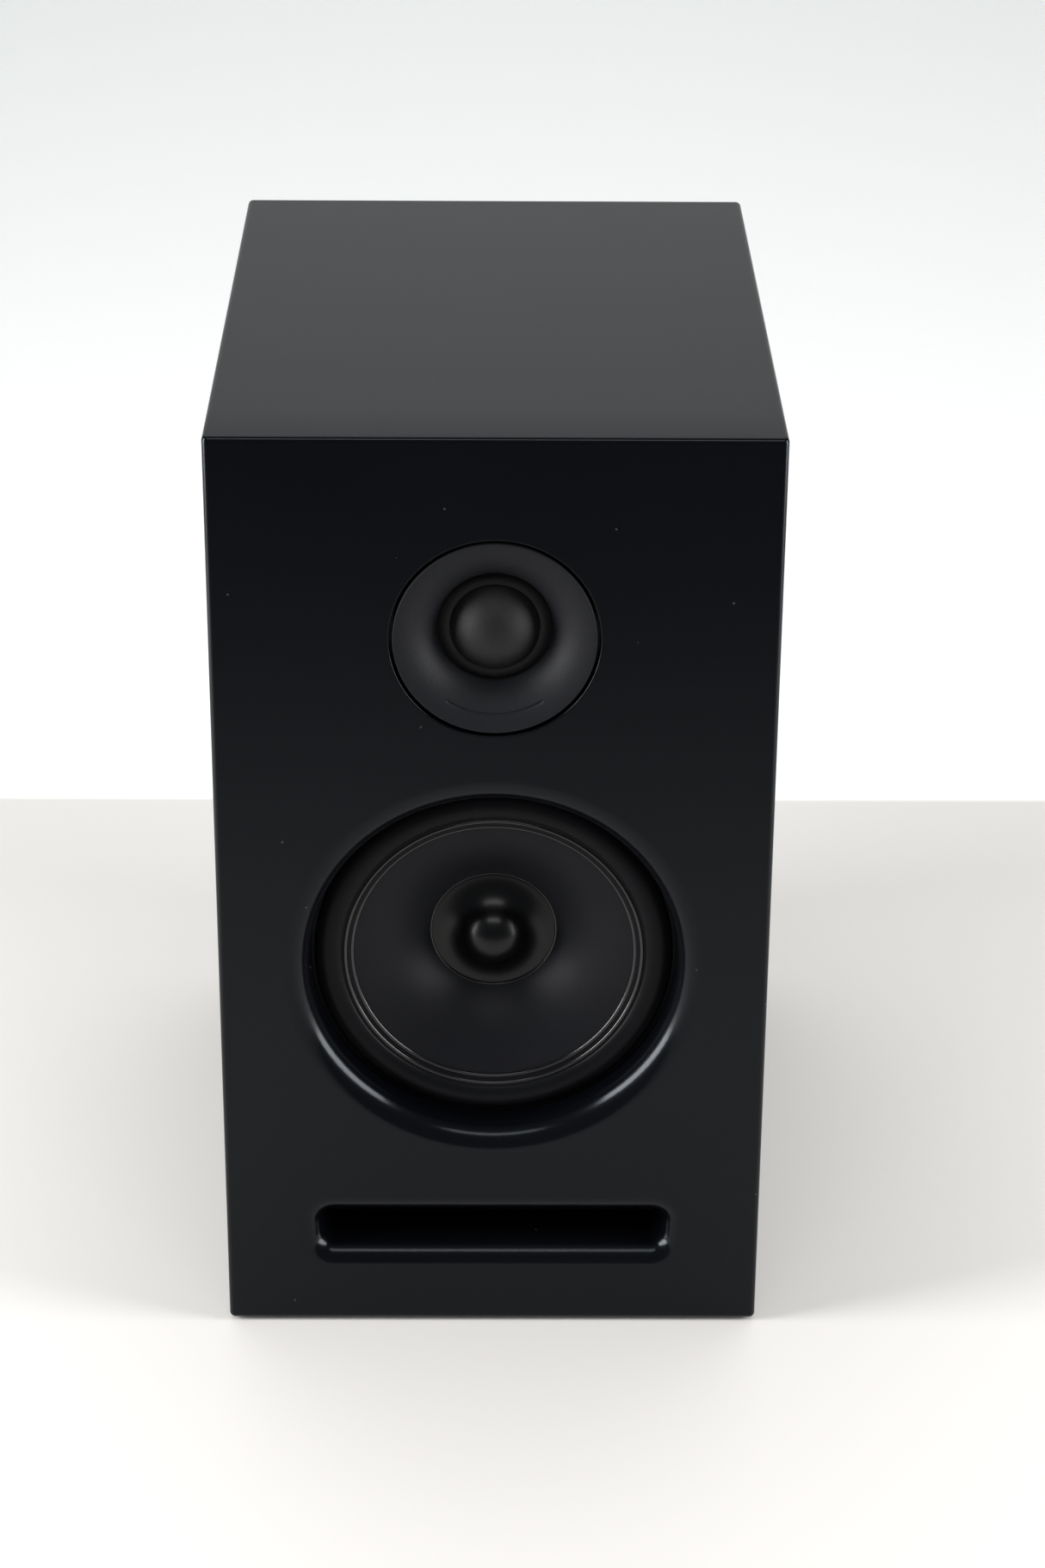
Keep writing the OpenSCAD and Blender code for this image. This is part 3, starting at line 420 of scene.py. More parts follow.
def settle(piece, node):
    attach(piece, nodes[node]["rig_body"])
    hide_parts(node)
    return piece


def treeInputs(tree, inputs):
    tree.interface.new_socket("Geometry", in_out="INPUT", socket_type="NodeSocketGeometry")
    for name, kind in inputs.items():
        tree.interface.new_socket(name, in_out="INPUT", socket_type="NodeSocket" + kind)
    tree.interface.new_socket("Geometry", in_out="OUTPUT", socket_type="NodeSocketGeometry")
    gate = tree.nodes.new("NodeGroupInput")
    return {name: Signal(tree, gate.outputs[name]) for name in ["Geometry", *inputs]}


def shapeNode(start, kind, sockets=None, settings=None, out=0):
    return start.make("GeometryNode" + kind, settings, sockets, out)


def newTree(name, inputs):
    tree = bpy.data.node_groups.new(name, "GeometryNodeTree")
    return treeInputs(tree, {**inputs, "Material": "Material"}), Signal(tree)


def closeTree(start, result, given):
    if "Centre" in given:
        result = shapeNode(start, "Transform",
            {"Geometry": result, "Translation": given["Centre"], "Rotation": given["Turn"]})
    result = shapeNode(start, "RealizeInstances", {"Geometry": result})
    result = shapeNode(start, "SetMaterial", {"Geometry": result, "Material": given["Material"]})
    start.make("NodeGroupOutput", None, {0: result})
    return start.tree


def grow(name, tree, slot, points, edges=(), sharpAngle=32, **values):
    mesh = bpy.data.meshes.new(name + "Path")
    mesh.from_pydata([tuple(p) for p in points], list(edges), [])
    seed = linked(name + "Path", mesh)
    modifier = seed.modifiers.new("shape", "NODES")
    modifier.node_group = tree
    sockets = {s.name: s.identifier for s in tree.interface.items_tree if s.in_out == "INPUT"}
    for key, value in {**values, "Material": finishes[slot]}.items():
        modifier[sockets[key]] = value
    result = baked(seed)
    result.name = name
    if not result.materials:
        result.materials.append(finishes[slot])
    return tidyMesh(linked(name, result), sharpAngle)


# Turns a profile of (radius, 0, depth) points about Z; ribs swell it outside the rib radius
def turnedTree():
    given, start = newTree("turnedShape", {"Around": "Int", "Ribs": "Float", "Rib Height": "Float",
        "Rib Radius": "Float", "Centre": "Vector", "Turn": "Vector"})
    count = shapeNode(start, "AttributeDomainSize", {"Geometry": given["Geometry"]},
        {"component": "MESH"}, "Point Count")
    grid = shapeNode(start, "MeshGrid",
        {"Size X": 1.0, "Size Y": 1.0, "Vertices X": count, "Vertices Y": given["Around"] + 1})
    index = shapeNode(start, "InputIndex")
    row = (index / (given["Around"] + 1)).apply("FLOOR")
    column = index - row * (given["Around"] + 1)
    sockets = {"Geometry": given["Geometry"], "Value": shapeNode(start, "InputPosition"), "Index": row}
    point = shapeNode(start, "SampleIndex", sockets, {"data_type": "FLOAT_VECTOR", "domain": "POINT"})
    radius, _, depth = parts(point)
    angle = column * (2 * math.pi) / given["Around"]
    swell = (radius > given["Rib Radius"]) * (angle * given["Ribs"]).apply("COSINE") * given["Rib Height"]
    reach = radius + swell
    place = start.make("ShaderNodeCombineXYZ", None,
        {0: reach * angle.apply("COSINE"), 1: reach * angle.apply("SINE"), 2: depth})
    result = shapeNode(start, "SetPosition", {"Geometry": grid, "Position": place})
    result = shapeNode(start, "MergeByDistance", {"Geometry": result, "Distance": 1e-6})
    return closeTree(start, result, given)


# Sweeps a round section along the seed's edges
def tubeTree():
    given, start = newTree("tubeShape", {"Radius": "Float", "Sides": "Int"})
    path = shapeNode(start, "MeshToCurve", {"Mesh": given["Geometry"]})
    section = shapeNode(start, "CurvePrimitiveCircle",
        {"Resolution": given["Sides"], "Radius": given["Radius"]}, {"mode": "RADIUS"})
    result = shapeNode(start, "CurveToMesh", {"Curve": path, "Profile Curve": section, "Fill Caps": True})
    return closeTree(start, result, given)


# Puts a copy of one object on every point of the seed
def scatterTree():
    given, start = newTree("scatterShape", {"Piece": "Object", "Turn": "Vector"})
    one = shapeNode(start, "ObjectInfo", {"Object": given["Piece"]},
        {"transform_space": "ORIGINAL"}, "Geometry")
    spots = shapeNode(start, "MeshToPoints", {"Mesh": given["Geometry"]})
    result = shapeNode(start, "InstanceOnPoints",
        {"Points": spots, "Instance": one, "Rotation": given["Turn"]})
    return closeTree(start, result, given)


layerStep = 1.8  # wire radii from one layer of a coil to the next


# Closed rings of wire side by side along Z, each layer wider than the last
def windingTree():
    given, start = newTree("windingShape", {"Turns": "Int", "Layers": "Int", "Radius": "Float",
        "Wire": "Float", "Centre": "Vector", "Turn": "Vector"})
    line = shapeNode(start, "MeshLine", {"Count": given["Turns"] * given["Layers"],
        "Offset": (0.0, 0.0, 0.0)})
    index = shapeNode(start, "InputIndex")
    layer = (index / given["Turns"]).apply("FLOOR")
    step = index - layer * given["Turns"]
    place = start.make("ShaderNodeCombineXYZ", None, {0: 0.0, 1: 0.0, 2: step * given["Wire"] * 2})
    line = shapeNode(start, "SetPosition", {"Geometry": line, "Position": place})
    radius = given["Radius"] + layer * given["Wire"] * layerStep
    unit = shapeNode(start, "CurvePrimitiveCircle", {"Resolution": 72, "Radius": 1.0}, {"mode": "RADIUS"})
    loops = shapeNode(start, "InstanceOnPoints", {"Points": line, "Instance": unit,
        "Scale": start.make("ShaderNodeCombineXYZ", None, {0: radius, 1: radius, 2: 1.0})})
    loops = shapeNode(start, "RealizeInstances", {"Geometry": loops})
    section = shapeNode(start, "CurvePrimitiveCircle", {"Resolution": 6, "Radius": given["Wire"]},
        {"mode": "RADIUS"})
    result = shapeNode(start, "CurveToMesh", {"Curve": loops, "Profile Curve": section})
    return closeTree(start, result, given)


turnedShape, tubeShape, scatterShape, windingShape = turnedTree(), tubeTree(), scatterTree(), windingTree()


def turned(name, profile, slot, centre, turn=intoFront, rounds=128, sharpAngle=32, ribs=(0, 0, 0)):
    count, height, radius = ribs
    return grow(name, turnedShape, slot, [(r * mm, 0, d * mm) for r, d in profile], sharpAngle=sharpAngle,
        **{"Around": rounds, "Ribs": float(count), "Rib Height": height * mm, "Rib Radius": radius * mm,
            "Centre": tuple(centre), "Turn": turn})


def arcPoints(cx, cy, r, start, end, steps):
    angles = [math.radians(start + (end - start) * k / steps) for k in range(steps + 1)]
    return [(cx + r * math.cos(a), cy + r * math.sin(a)) for a in angles]


# An arc from p to q that stands out by rise
def bowPoints(p, q, rise, steps):
    p, q = Vector(p), Vector(q)
    d = q - p
    c = d.length
    side = Vector((d.y, -d.x)) / c
    r = (c * c / 4 + rise * rise) / (2 * rise)
    return [tuple(p + d * (u + 0.5) + side * (math.sqrt(r * r - (u * c) ** 2) - (r - rise)))
        for u in [k / steps - 0.5 for k in range(steps + 1)]]


# Quads between two rings of points that start at the indices one and two
def band(one, two, count):
    return [(one + k, one + (k + 1) % count, two + (k + 1) % count, two + k) for k in range(count)]


def camel(node):
    first, *rest = node.split("_")
    return first + "".join(w.capitalize() for w in rest)


cabinetShape = {"edge": 2.0, "edgeSteps": 10, "cornerSteps": 8, "baffle": 25.0, "wall": 15.0,
    "rebateWidth": 9.0, "rebateDepth": 16.5, "mitreSteps": 6}
wooferOpening = {"hole": 62.0, "flare": 9.0, "flareSteps": 26, "seat": 14.0, "rebate": 70.5, "around": 192}
tweeterOpening = {"hole": 34.3, "breakEdge": 0.35, "seat": 6.5, "motor": 27.5, "shelf": 14.5, "rebate": 38.0,
    "around": 160}
portOpening = {"width": 118.0, "height": 12.5, "corner": 4.0, "cornerSteps": 12,
    "flare": 9.0, "flareSteps": 22}
lipMargin = 0.5  # a flat ring round each lip, so that its shading stays off the face


def roundedOutline(w, h, r, steps):
    out = []
    for quarter, (sx, sz) in enumerate(((1, 1), (-1, 1), (-1, -1), (1, -1))):
        out += arcPoints(sx * (w / 2 - r), sz * (h / 2 - r), r, 90 * quarter, 90 * quarter + 90, steps)
    return out


# Steps of (size, depth) down a rounded lip that ends at the size given
def roundLip(end, radius, steps):
    angles = [math.pi / 2 * k / steps for k in range(steps + 1)]
    return [(end + radius * (1 - math.sin(a)), radius * (1 - math.cos(a))) for a in angles]


# Rings of (x, depth, z) in mm from the front face to the back face of each hole
def roundHole(z, stations, count):
    angles = [2 * math.pi * k / count for k in range(count)]
    return [[(r * math.cos(a), d, z + r * math.sin(a)) for a in angles] for r, d in stations]


def insideLoop(c, loop):
    inside = False
    for (x0, z0), (x1, z1) in zip(loop, loop[1:] + loop[:1]):
        if (z0 > c.y) != (z1 > c.y) and c.x < (x1 - x0) * (c.y - z0) / (z1 - z0) + x0:
            inside = not inside
    return inside


def baffleRings(width, height, centreZ):
    s, w, t, p = cabinetShape, wooferOpening, tweeterOpening, portOpening
    stations = [(w["hole"] + w["flare"] + lipMargin, 0), *roundLip(w["hole"], w["flare"], w["flareSteps"]),
        (w["hole"], w["seat"]), (w["rebate"], w["seat"]), (w["rebate"], s["baffle"])]
    wooferHole = roundHole(wooferZ / mm, stations, w["around"])
    stations = [(t["hole"] + t["breakEdge"] + 0.3, 0), *roundLip(t["hole"], t["breakEdge"], 4),
        (t["hole"], t["seat"]), (t["motor"], t["seat"]), (t["motor"], t["shelf"]),
        (t["rebate"], t["shelf"]), (t["rebate"], s["baffle"])]
    tweeterHole = roundHole(tweeterZ / mm, stations, t["around"])
    portHole, rim = [], []
    lip = roundLip(0, p["flare"], p["flareSteps"])
    for wider, depth in [(p["flare"] + lipMargin, 0), *lip, (0, s["baffle"])]:
        size = (p["width"] + 2 * wider, p["height"] + 2 * wider, p["corner"] + wider)
        portHole.append([(x, depth, portZ / mm + z) for x, z in roundedOutline(*size, p["cornerSteps"])])
    edge = s["edge"]
    for inset, depth in [(lipMargin, 0), *roundLip(-edge, edge, s["edgeSteps"]), (-edge, s["baffle"])]:
        size = (width - 2 * edge - 2 * inset, height - 2 * edge - 2 * inset, max(-inset, 0.0))
        rim.append([(x, depth, centreZ + z) for x, z in roundedOutline(*size, s["cornerSteps"])])
    return [wooferHole, tweeterHole, portHole], rim


def makeBaffle():
    width, height = (cabinetHigh.x - cabinetLow.x) / mm, (cabinetHigh.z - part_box("bottom_panel")[0].z) / mm
    holes, rim = baffleRings(width, height, cabinetHigh.z / mm - height / 2)
    points, faces = [], []
    for rings in (*holes, rim):
        count = len(rings[0])
        for ring in rings:
            points += ring
            if ring is not rings[-1]:
                faces += band(len(points) - count, len(points), count)
    for level in (0, -1):  # the flat front and back, between the openings
        outer = []
        for x, _, z in rim[level]:
            if not outer or math.dist(outer[-1], (x, z)) > 1e-6:
                outer.append((x, z))
        if math.dist(outer[0], outer[-1]) < 1e-6:
            outer.pop()
        loops = [outer] + [[(x, z) for x, _, z in rings[level]] for rings in holes]
        flat, edges = [], []
        for loop in loops:
            first, count = len(flat), len(loop)
            flat += [Vector(q) for q in loop]
            edges += [(first + k, first + (k + 1) % count) for k in range(count)]
        made, _, triangles, *_ = delaunay_2d_cdt(flat, edges, [], 1, 1e-6)
        first = len(points)
        points += [(q.x, rim[level][0][1], q.y) for q in made]
        for tri in triangles:
            centre = sum((made[i] for i in tri), Vector((0, 0))) / 3
            if not any(insideLoop(centre, loop) for loop in loops[1:]):
                faces.append(tuple(first + i for i in tri))
    place = [(x * mm, frontY + d * mm, z * mm) for x, d, z in points]
    return newPiece("frontBaffle", place, faces, "cabinet_paint", 30)


# One mitred wall: across it runs u, along the depth v, and outwards w
def makeWall(name, across, out):
    s = cabinetShape
    height = (cabinetHigh.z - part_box("bottom_panel")[0].z) / mm
    width = (cabinetHigh.x - cabinetLow.x) / mm
    halfU, halfW = (height / 2, width / 2) if abs(out.x) > 0.5 else (width / 2, height / 2)
    centre = Vector((0, 0, cabinetHigh.z / mm - height / 2))
    r, front, back, mitre = s["edge"], frontY / mm + s["baffle"], backY / mm, s["mitreSteps"]
    columns = [(r - halfU, math.radians(-45 + 45 * k / mitre)) for k in range(mitre + 1)]
    columns += [(r - halfU + lipMargin, 0.0), (halfU - r - lipMargin, 0.0)]
    columns += [(halfU - r, math.radians(45 * k / mitre)) for k in range(mitre + 1)]
    rows = [(front, 0.0), (back - r - lipMargin, 0.0)]
    rows += [(back - r, math.radians(90 * k / s["edgeSteps"])) for k in range(s["edgeSteps"] + 1)]
    wall, rebate = halfW - s["wall"], halfW - s["wall"] + s["rebateWidth"]
    inner = [(back, rebate), (back - s["rebateDepth"], rebate), (back - s["rebateDepth"], wall),
        (front, wall)]
    points, faces = [], []
    for core, a in columns:
        for v, b in rows:
            bulge = r * math.cos(b)
            points.append((core + math.sin(a) * bulge, v + r * math.sin(b), halfW - r + math.cos(a) * bulge))
        points += [(math.copysign(halfU - (halfW - w), core), v, w) for v, w in inner]
    tall, last = len(rows) + len(inner), len(columns) - 1
    for c in range(last):
        faces += band(c * tall, (c + 1) * tall, tall)
    faces += [tuple(range(tall)), tuple(range(last * tall, (last + 1) * tall))]
    place = [(centre + across * u + Vector((0, v, 0)) + out * w) * mm for u, v, w in points]
    return newPiece(name, place, faces, "cabinet_paint", 30)


settle(makeBaffle(), "front_baffle")
for node, across, out in (("top_panel", (1, 0, 0), (0, 0, 1)), ("bottom_panel", (1, 0, 0), (0, 0, -1)),
        ("left_side", (0, 0, 1), (-1, 0, 0)), ("right_side", (0, 0, 1), (1, 0, 0))):
    settle(makeWall(camel(node), Vector(across), Vector(out)), node)
print("cabinet made")


wooferAt = (0, frontY, wooferZ)
coneShape = {"rim": 51.0, "rimDepth": 13.3, "rimSlope": 11.85, "bend": 52.4,
    "thick": 0.8, "neck": 16.05, "steps": 40}
capShape = {"edge": 21.4, "tip": 12.0, "lean": 55.0, "skin": 0.8}
surroundShape = {"lip": 47.8, "rollIn": 51.5, "rollOut": 61.0, "rise": 2.4, "thick": 0.8, "clamp": 64.0,
    "flange": 15.2}
glueBeads = {"lipGlue": (48.0, 0.1, 0.7), "rollGlue": (50.3, 0.55, 0.7),
    "capGlue": (capShape["edge"] + 0.1, -0.05, 0.3)}  # radius, lift and height


def coneDepth(r):
    c = coneShape
    x = c["rim"] + c["bend"] * math.sin(math.radians(c["rimSlope"]))
    d = c["rimDepth"] + c["bend"] * math.cos(math.radians(c["rimSlope"]))
    return d - math.sqrt(c["bend"] ** 2 - (x - r) ** 2)


def makeCone():
    c = coneShape
    radii = [c["neck"] + (c["rim"] - c["neck"]) * k / c["steps"] for k in range(c["steps"] + 1)]
    under = [(r, coneDepth(r) + c["thick"] * (1 + 0.9 * (c["rim"] - r) / c["rim"])) for r in reversed(radii)]
    face = [(r, coneDepth(r)) for r in radii]
    return turned("wooferCone", face + under + face[:1], "cone_plastic", wooferAt, rounds=160)


def makeCap():
    c = capShape
    lean, edge = math.radians(c["lean"]), coneDepth(c["edge"])
    sweep = (c["edge"] - c["tip"] * math.sin(lean)) / math.sin(lean)
    tip = edge - sweep * (1 - math.cos(lean)) + c["tip"] * math.cos(lean)

    def bell(off):
        skirt = arcPoints(c["edge"], edge - sweep, sweep + off, 90 + c["lean"], 92, 18)
        return arcPoints(0, tip, c["tip"] - off, -90, -90 + c["lean"], 22) + skirt[1:]

    foot = c["edge"] - 1.1
    shell = bell(0) + [(c["edge"] - 0.05, edge + 0.15), (foot, edge + c["skin"])]
    shell += [q for q in reversed(bell(c["skin"])) if q[0] < foot]
    return turned("wooferDustCap", shell, "cap_plastic", wooferAt, rounds=144, sharpAngle=50)


def makeSurround():
    s = surroundShape
    lip = [(r, coneDepth(min(r, coneShape["rim"])) - 0.15) for r in np.linspace(s["lip"], s["rollIn"], 6)]
    seat, inner = s["flange"] - s["thick"], coneShape["rimDepth"] - 0.1
    top = [(r, d - s["thick"] * (0.35 if k == 0 else 0.7)) for k, (r, d) in enumerate(lip)]
    top += bowPoints((s["rollIn"], inner - 0.65), (s["rollOut"], seat), s["rise"], 22)
    under = lip + bowPoints((s["rollIn"], inner + 0.1), (s["rollOut"], seat + s["thick"]), s["rise"], 22)
    shell = top + [(s["clamp"] - 0.3, seat), (s["clamp"], seat + 0.3), (s["clamp"], s["flange"])]
    shell += list(reversed(under))
    return turned("wooferSurround", shell + shell[:1], "surround_rubber", wooferAt, rounds=160, sharpAngle=60)


# Hides the CAD node and bakes the piece's placement into its mesh
# The moving body and the radii r0 and r1 are not used
def bendRound(piece, node, moving, centre, r0, r1):
    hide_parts(node)
    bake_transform(piece)


settle(makeCone(), "woofer_cone")
settle(makeCap(), "woofer_dust_cap")
bendRound(makeSurround(), "woofer_surround", "woofer_diaphragm", wooferAt,
    surroundShape["rollIn"], surroundShape["rollOut"])
for name, (r, lift, height) in glueBeads.items():
    depth = coneDepth(min(r, coneShape["rim"])) - lift
    ring = arcPoints(r, depth, height, 0, -360, 10)
    glue = turned(name, ring, "glue", wooferAt, rounds=144, sharpAngle=80)
    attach(glue, "woofer_diaphragm")
print("woofer made")


tweeterAt = (0, frontY, tweeterZ)
plateShape = {"edge": 33.1, "face": 0.1, "rim": 32.6, "throat": 18.9, "throatDepth": 10.8, "wall": 1.2,
    "start": 12.0, "clamp": 22.1, "back": 13.0, "motor": 26.0, "seat": 6.5, "steps": 36}
# engraved arc
markShape = {"width": 0.4, "depth": 0.3, "middle": 270.0, "half": 35.0, "fade": 1.6, "offset": 1.5}
domeShape = {"edge": 14.6, "bend": 16.8, "thick": 0.4, "base": 10.6, "coil": 14.0}
edgeRollShape = {"rise": 0.6, "thick": 0.4}


def makeFaceplate():
    p = plateShape
    out, inner = p["rim"], p["throat"] + 0.3
    drop, run = p["throatDepth"] - 0.6 - p["face"], out - inner
    start = math.radians(p["start"])
    finish = 2 * math.atan(drop / run) - start
    bend = run / (math.sin(finish) - math.sin(start))
    markAt = (out + inner) / 2 + markShape["offset"]
    extra = [markAt + markShape["width"] * f for f in (-1, -0.6, -0.3, 0, 0.3, 0.6, 1)]
    radii = sorted({out - run * k / p["steps"] for k in range(p["steps"] + 1)} | set(extra), reverse=True)
    horn = []
    for r in radii:
        s = math.asin(min(1, math.sin(start) + (out - r) / bend))
        horn.append((r, p["face"] + bend * (math.cos(start) - math.cos(s))))
    t, deep = p["throat"], p["throatDepth"]
    shell = [(p["edge"], p["face"] + 0.3), (p["edge"] - 0.1, p["face"] + 0.1), (p["edge"] - 0.3, p["face"])]
    shell += [*horn,
        (t + 0.12, deep - 0.35), (t, deep), (t, deep + p["wall"]), (p["clamp"], deep + p["wall"]),
        (p["clamp"], p["back"]), (p["motor"], p["back"]), (p["motor"], p["seat"]), (p["edge"], p["seat"]),
        (p["edge"], p["face"] + 0.3)]
    piece = turned("tweeterFaceplate", shell, "faceplate_plastic", tweeterAt, rounds=288, sharpAngle=40)
    place = np.array([v.co for v in piece.data.vertices])
    x, z = place[:, 0] / mm, (place[:, 2] - tweeterZ) / mm
    reach, angle = np.hypot(x, z), np.degrees(np.arctan2(z, x)) % 360
    m = markShape
    along = np.clip((m["half"] - np.abs(angle - m["middle"])) / m["fade"], 0, 1)
    across = np.clip(1 - (np.abs(reach - markAt) / m["width"]) ** 2, 0, 1)
    onFace = place[:, 1] < frontY + (p["throatDepth"] - 1) * mm
    place[:, 1] += np.where(onFace, m["depth"] * mm * along * np.sqrt(across), 0)
    piece.data.vertices.foreach_set("co", place.ravel())
    piece.data.update()
    return piece


def makeDome():
    d = domeShape
    lean = math.degrees(math.asin(d["edge"] / d["bend"]))
    centre = d["base"] + math.sqrt(d["bend"] ** 2 - d["edge"] ** 2)
    inner = math.degrees(math.asin((d["coil"] - 0.3) / (d["bend"] - d["thick"])))
    shell = arcPoints(0, centre, d["bend"], -90, -90 + lean, 30)
    shell += [(d["edge"], d["base"] + d["thick"]), (d["coil"], d["base"] + d["thick"])]
    shell += arcPoints(0, centre, d["bend"] - d["thick"], -90 + inner, -90, 24)
    return turned("tweeterDome", shell, "dome_cloth", tweeterAt, rounds=128, sharpAngle=60)


def makeEdgeRoll():
    d, p, e = domeShape, plateShape, edgeRollShape
    seat = p["throatDepth"] + p["wall"]
    inner, outer = (d["edge"] + 0.15, d["base"] + 0.2), (p["throat"] - 0.4, seat)
    under = bowPoints(*[(r, d + e["thick"]) for r, d in (inner, outer)], e["rise"], 18)
    shell = bowPoints(inner, outer, e["rise"], 18)
    shell += [(p["throat"] + 3, seat), (p["throat"] + 3, seat + e["thick"])] + list(reversed(under))
    return turned("tweeterSurround", shell + shell[:1], "dome_cloth", tweeterAt, rounds=128, sharpAngle=60)


settle(makeFaceplate(), "tweeter_faceplate")
settle(makeDome(), "tweeter_dome")
bendRound(makeEdgeRoll(), "tweeter_surround", "tweeter_diaphragm", tweeterAt,
    domeShape["edge"] + 0.15, plateShape["throat"] - 0.4)
print("tweeter made")


# A CAD piece again, with its sharp edges rounded
def rounded(node, width):
    mesh = nodes[node].data.copy()
    mesh.transform(nodes[node].matrix_world)
    piece = linked(node, mesh)
    shape = bmesh.new()
    shape.from_mesh(mesh)
    bmesh.ops.remove_doubles(shape, verts=shape.verts, dist=1e-6)
    bmesh.ops.dissolve_limit(shape, angle_limit=math.radians(1), verts=shape.verts, edges=shape.edges)
    shape.to_mesh(mesh)
    shape.free()
    tidyMesh(piece, 30)
    bevel = piece.modifiers.new("edges", "BEVEL")
    bevel.width, bevel.segments, bevel.use_clamp_overlap = width * mm, 3, True
    bevel.limit_method, bevel.angle_limit = "ANGLE", math.radians(35)
    even = piece.modifiers.new("even", "WEIGHTED_NORMAL")
    even.weight, even.keep_sharp = 100, True
    result = baked(piece)
    result.materials.clear()
    result.materials.append(finishes[slotOf[node]])
    settle(linked(camel(node), result), node)


edgeRounding = {"back_panel": 0.5, "window_brace": 0.6, "port_duct": 0.6, "woofer_basket": 0.5,
    "woofer_top_plate": 0.4, "woofer_magnet": 0.6, "woofer_yoke": 0.5, "woofer_terminals": 0.25,
    "tweeter_top_plate": 0.3, "tweeter_magnet": 0.4, "tweeter_yoke": 0.4, "tweeter_rear_chamber": 0.5,
    "tweeter_terminals": 0.25, "terminal_cup": 0.7, "terminal_cup_gasket": 0.2, "back_gasket": 0.3,
    "woofer_gasket": 0.3, "post_lock_nuts": 0.4, "crossover_board": 0.2, "board_standoffs": 0.3,
    "film_capacitors": 1.6, "electrolytic_capacitor": 0.8, "cement_resistors": 0.6}
for node, width in edgeRounding.items():
    rounded(node, width)
print("edges rounded:", len(edgeRounding))

crossShape = {"arm": 0.6, "half": 0.45, "taper": 0.62, "around": 48}
threadLook = {"core": 0.8, "pitch": 1.25, "tip": 4.0, "perTurn": 8}


# Reach of a cross-shaped recess in the direction of an angle
def crossReach(a, arm, half):
    c, s = max(abs(math.cos(a)), 1e-6), max(abs(math.sin(a)), 1e-6)
    return max(min(arm / c, half / s), min(arm / s, half / c))


# Rings of (radius by angle, depth) joined into a closed skin about Z
def skin(name, rings, slot, count):
    angles, last = [2 * math.pi * k / count for k in range(count)], len(rings) - 1
    points = [(reach(a) * mm * math.cos(a), reach(a) * mm * math.sin(a), depth * mm) for reach, depth in rings
        for a in angles]
    faces = [face for i in range(last) for face in band(i * count, (i + 1) * count, count)]
    faces += [tuple(range(count)), tuple(range(last * count, (last + 1) * count))]
    return newPiece(name, points, faces, slot, 40)


def circle(r):
    return lambda a: r


def winding(core, crest, z, pitch):
    return lambda a: core + (crest - core) * (1 - abs(2 * ((z / pitch - a / (2 * math.pi)) % 1) - 1)) ** 1.4


# One screw along +Z from the top of its head, which is flat if it has no height, and else domed
def screw(name, slot, shank, head, headHeight, length):
    flat = headHeight == 0
    c, t = crossShape, threadLook
    arm, deep = c["arm"] * head, 1.3 if flat else min(1.6, headHeight - 0.5)

    def cross(scale):
        return lambda a: crossReach(a, arm * scale, c["half"] * (0.5 + scale / 2))

    rings = [(cross(c["taper"]), deep), (cross(1), 0.0)]
    if flat:
        rings += [(circle(head - 0.12), 0.0), (circle(head - 0.04), 0.08), (circle(shank), head - shank)]
    else:
        rings += [(circle(arm + 0.25), 0.04), (circle(head * 0.86), headHeight * 0.22),
            (circle(head * 0.97), headHeight * 0.55), (circle(head), headHeight * 0.8),
            (circle(head - 0.1), headHeight), (circle(shank), headHeight)]
    top = rings[-1][1]
    end = length if flat else headHeight + length
    steps = int((end - top) / t["pitch"] * t["perTurn"])
    for k in range(1, steps + 1):
        z = top + (end - top) * k / steps
        fade = min(1.0, (end - z) / t["tip"] + 0.08)
        rings.append((winding(shank * t["core"] * fade, shank * fade, z, t["pitch"]), z))
    return skin(name, rings, slot, c["around"])


def scatter(name, node, proto, spots, turn):
    settle(grow(name, scatterShape, slotOf[node], spots, sharpAngle=40, Piece=proto, Turn=turn), node)
    bpy.data.objects.remove(proto)


def corners(x, y, z, middleZ):
    return [(sx * x, y, middleZ + sz * z) for sx in (-1, 1) for sz in (-1, 1)]


def onCircle(r, angles, y, z):
    return [(r * math.cos(math.radians(a)), y, z + r * math.sin(math.radians(a))) for a in angles]


def span(node):
    low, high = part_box(node)
    return (high - low) / 2


cup, board, panel = span("terminal_cup"), span("crossover_board"), span("back_panel")
boardZ, panelZ, ductZ = middle("crossover_board").z, middle("back_panel").z, middle("port_duct").z
fixings = {"backInset": 4.2 * mm, "backReach": 125 * mm, "cupInset": 4.5 * mm, "boardInset": 6 * mm,
    "ductX": 51 * mm, "ductZ": 12.65 * mm, "wooferRing": 67 * mm, "tweeterRing": 30.8 * mm}
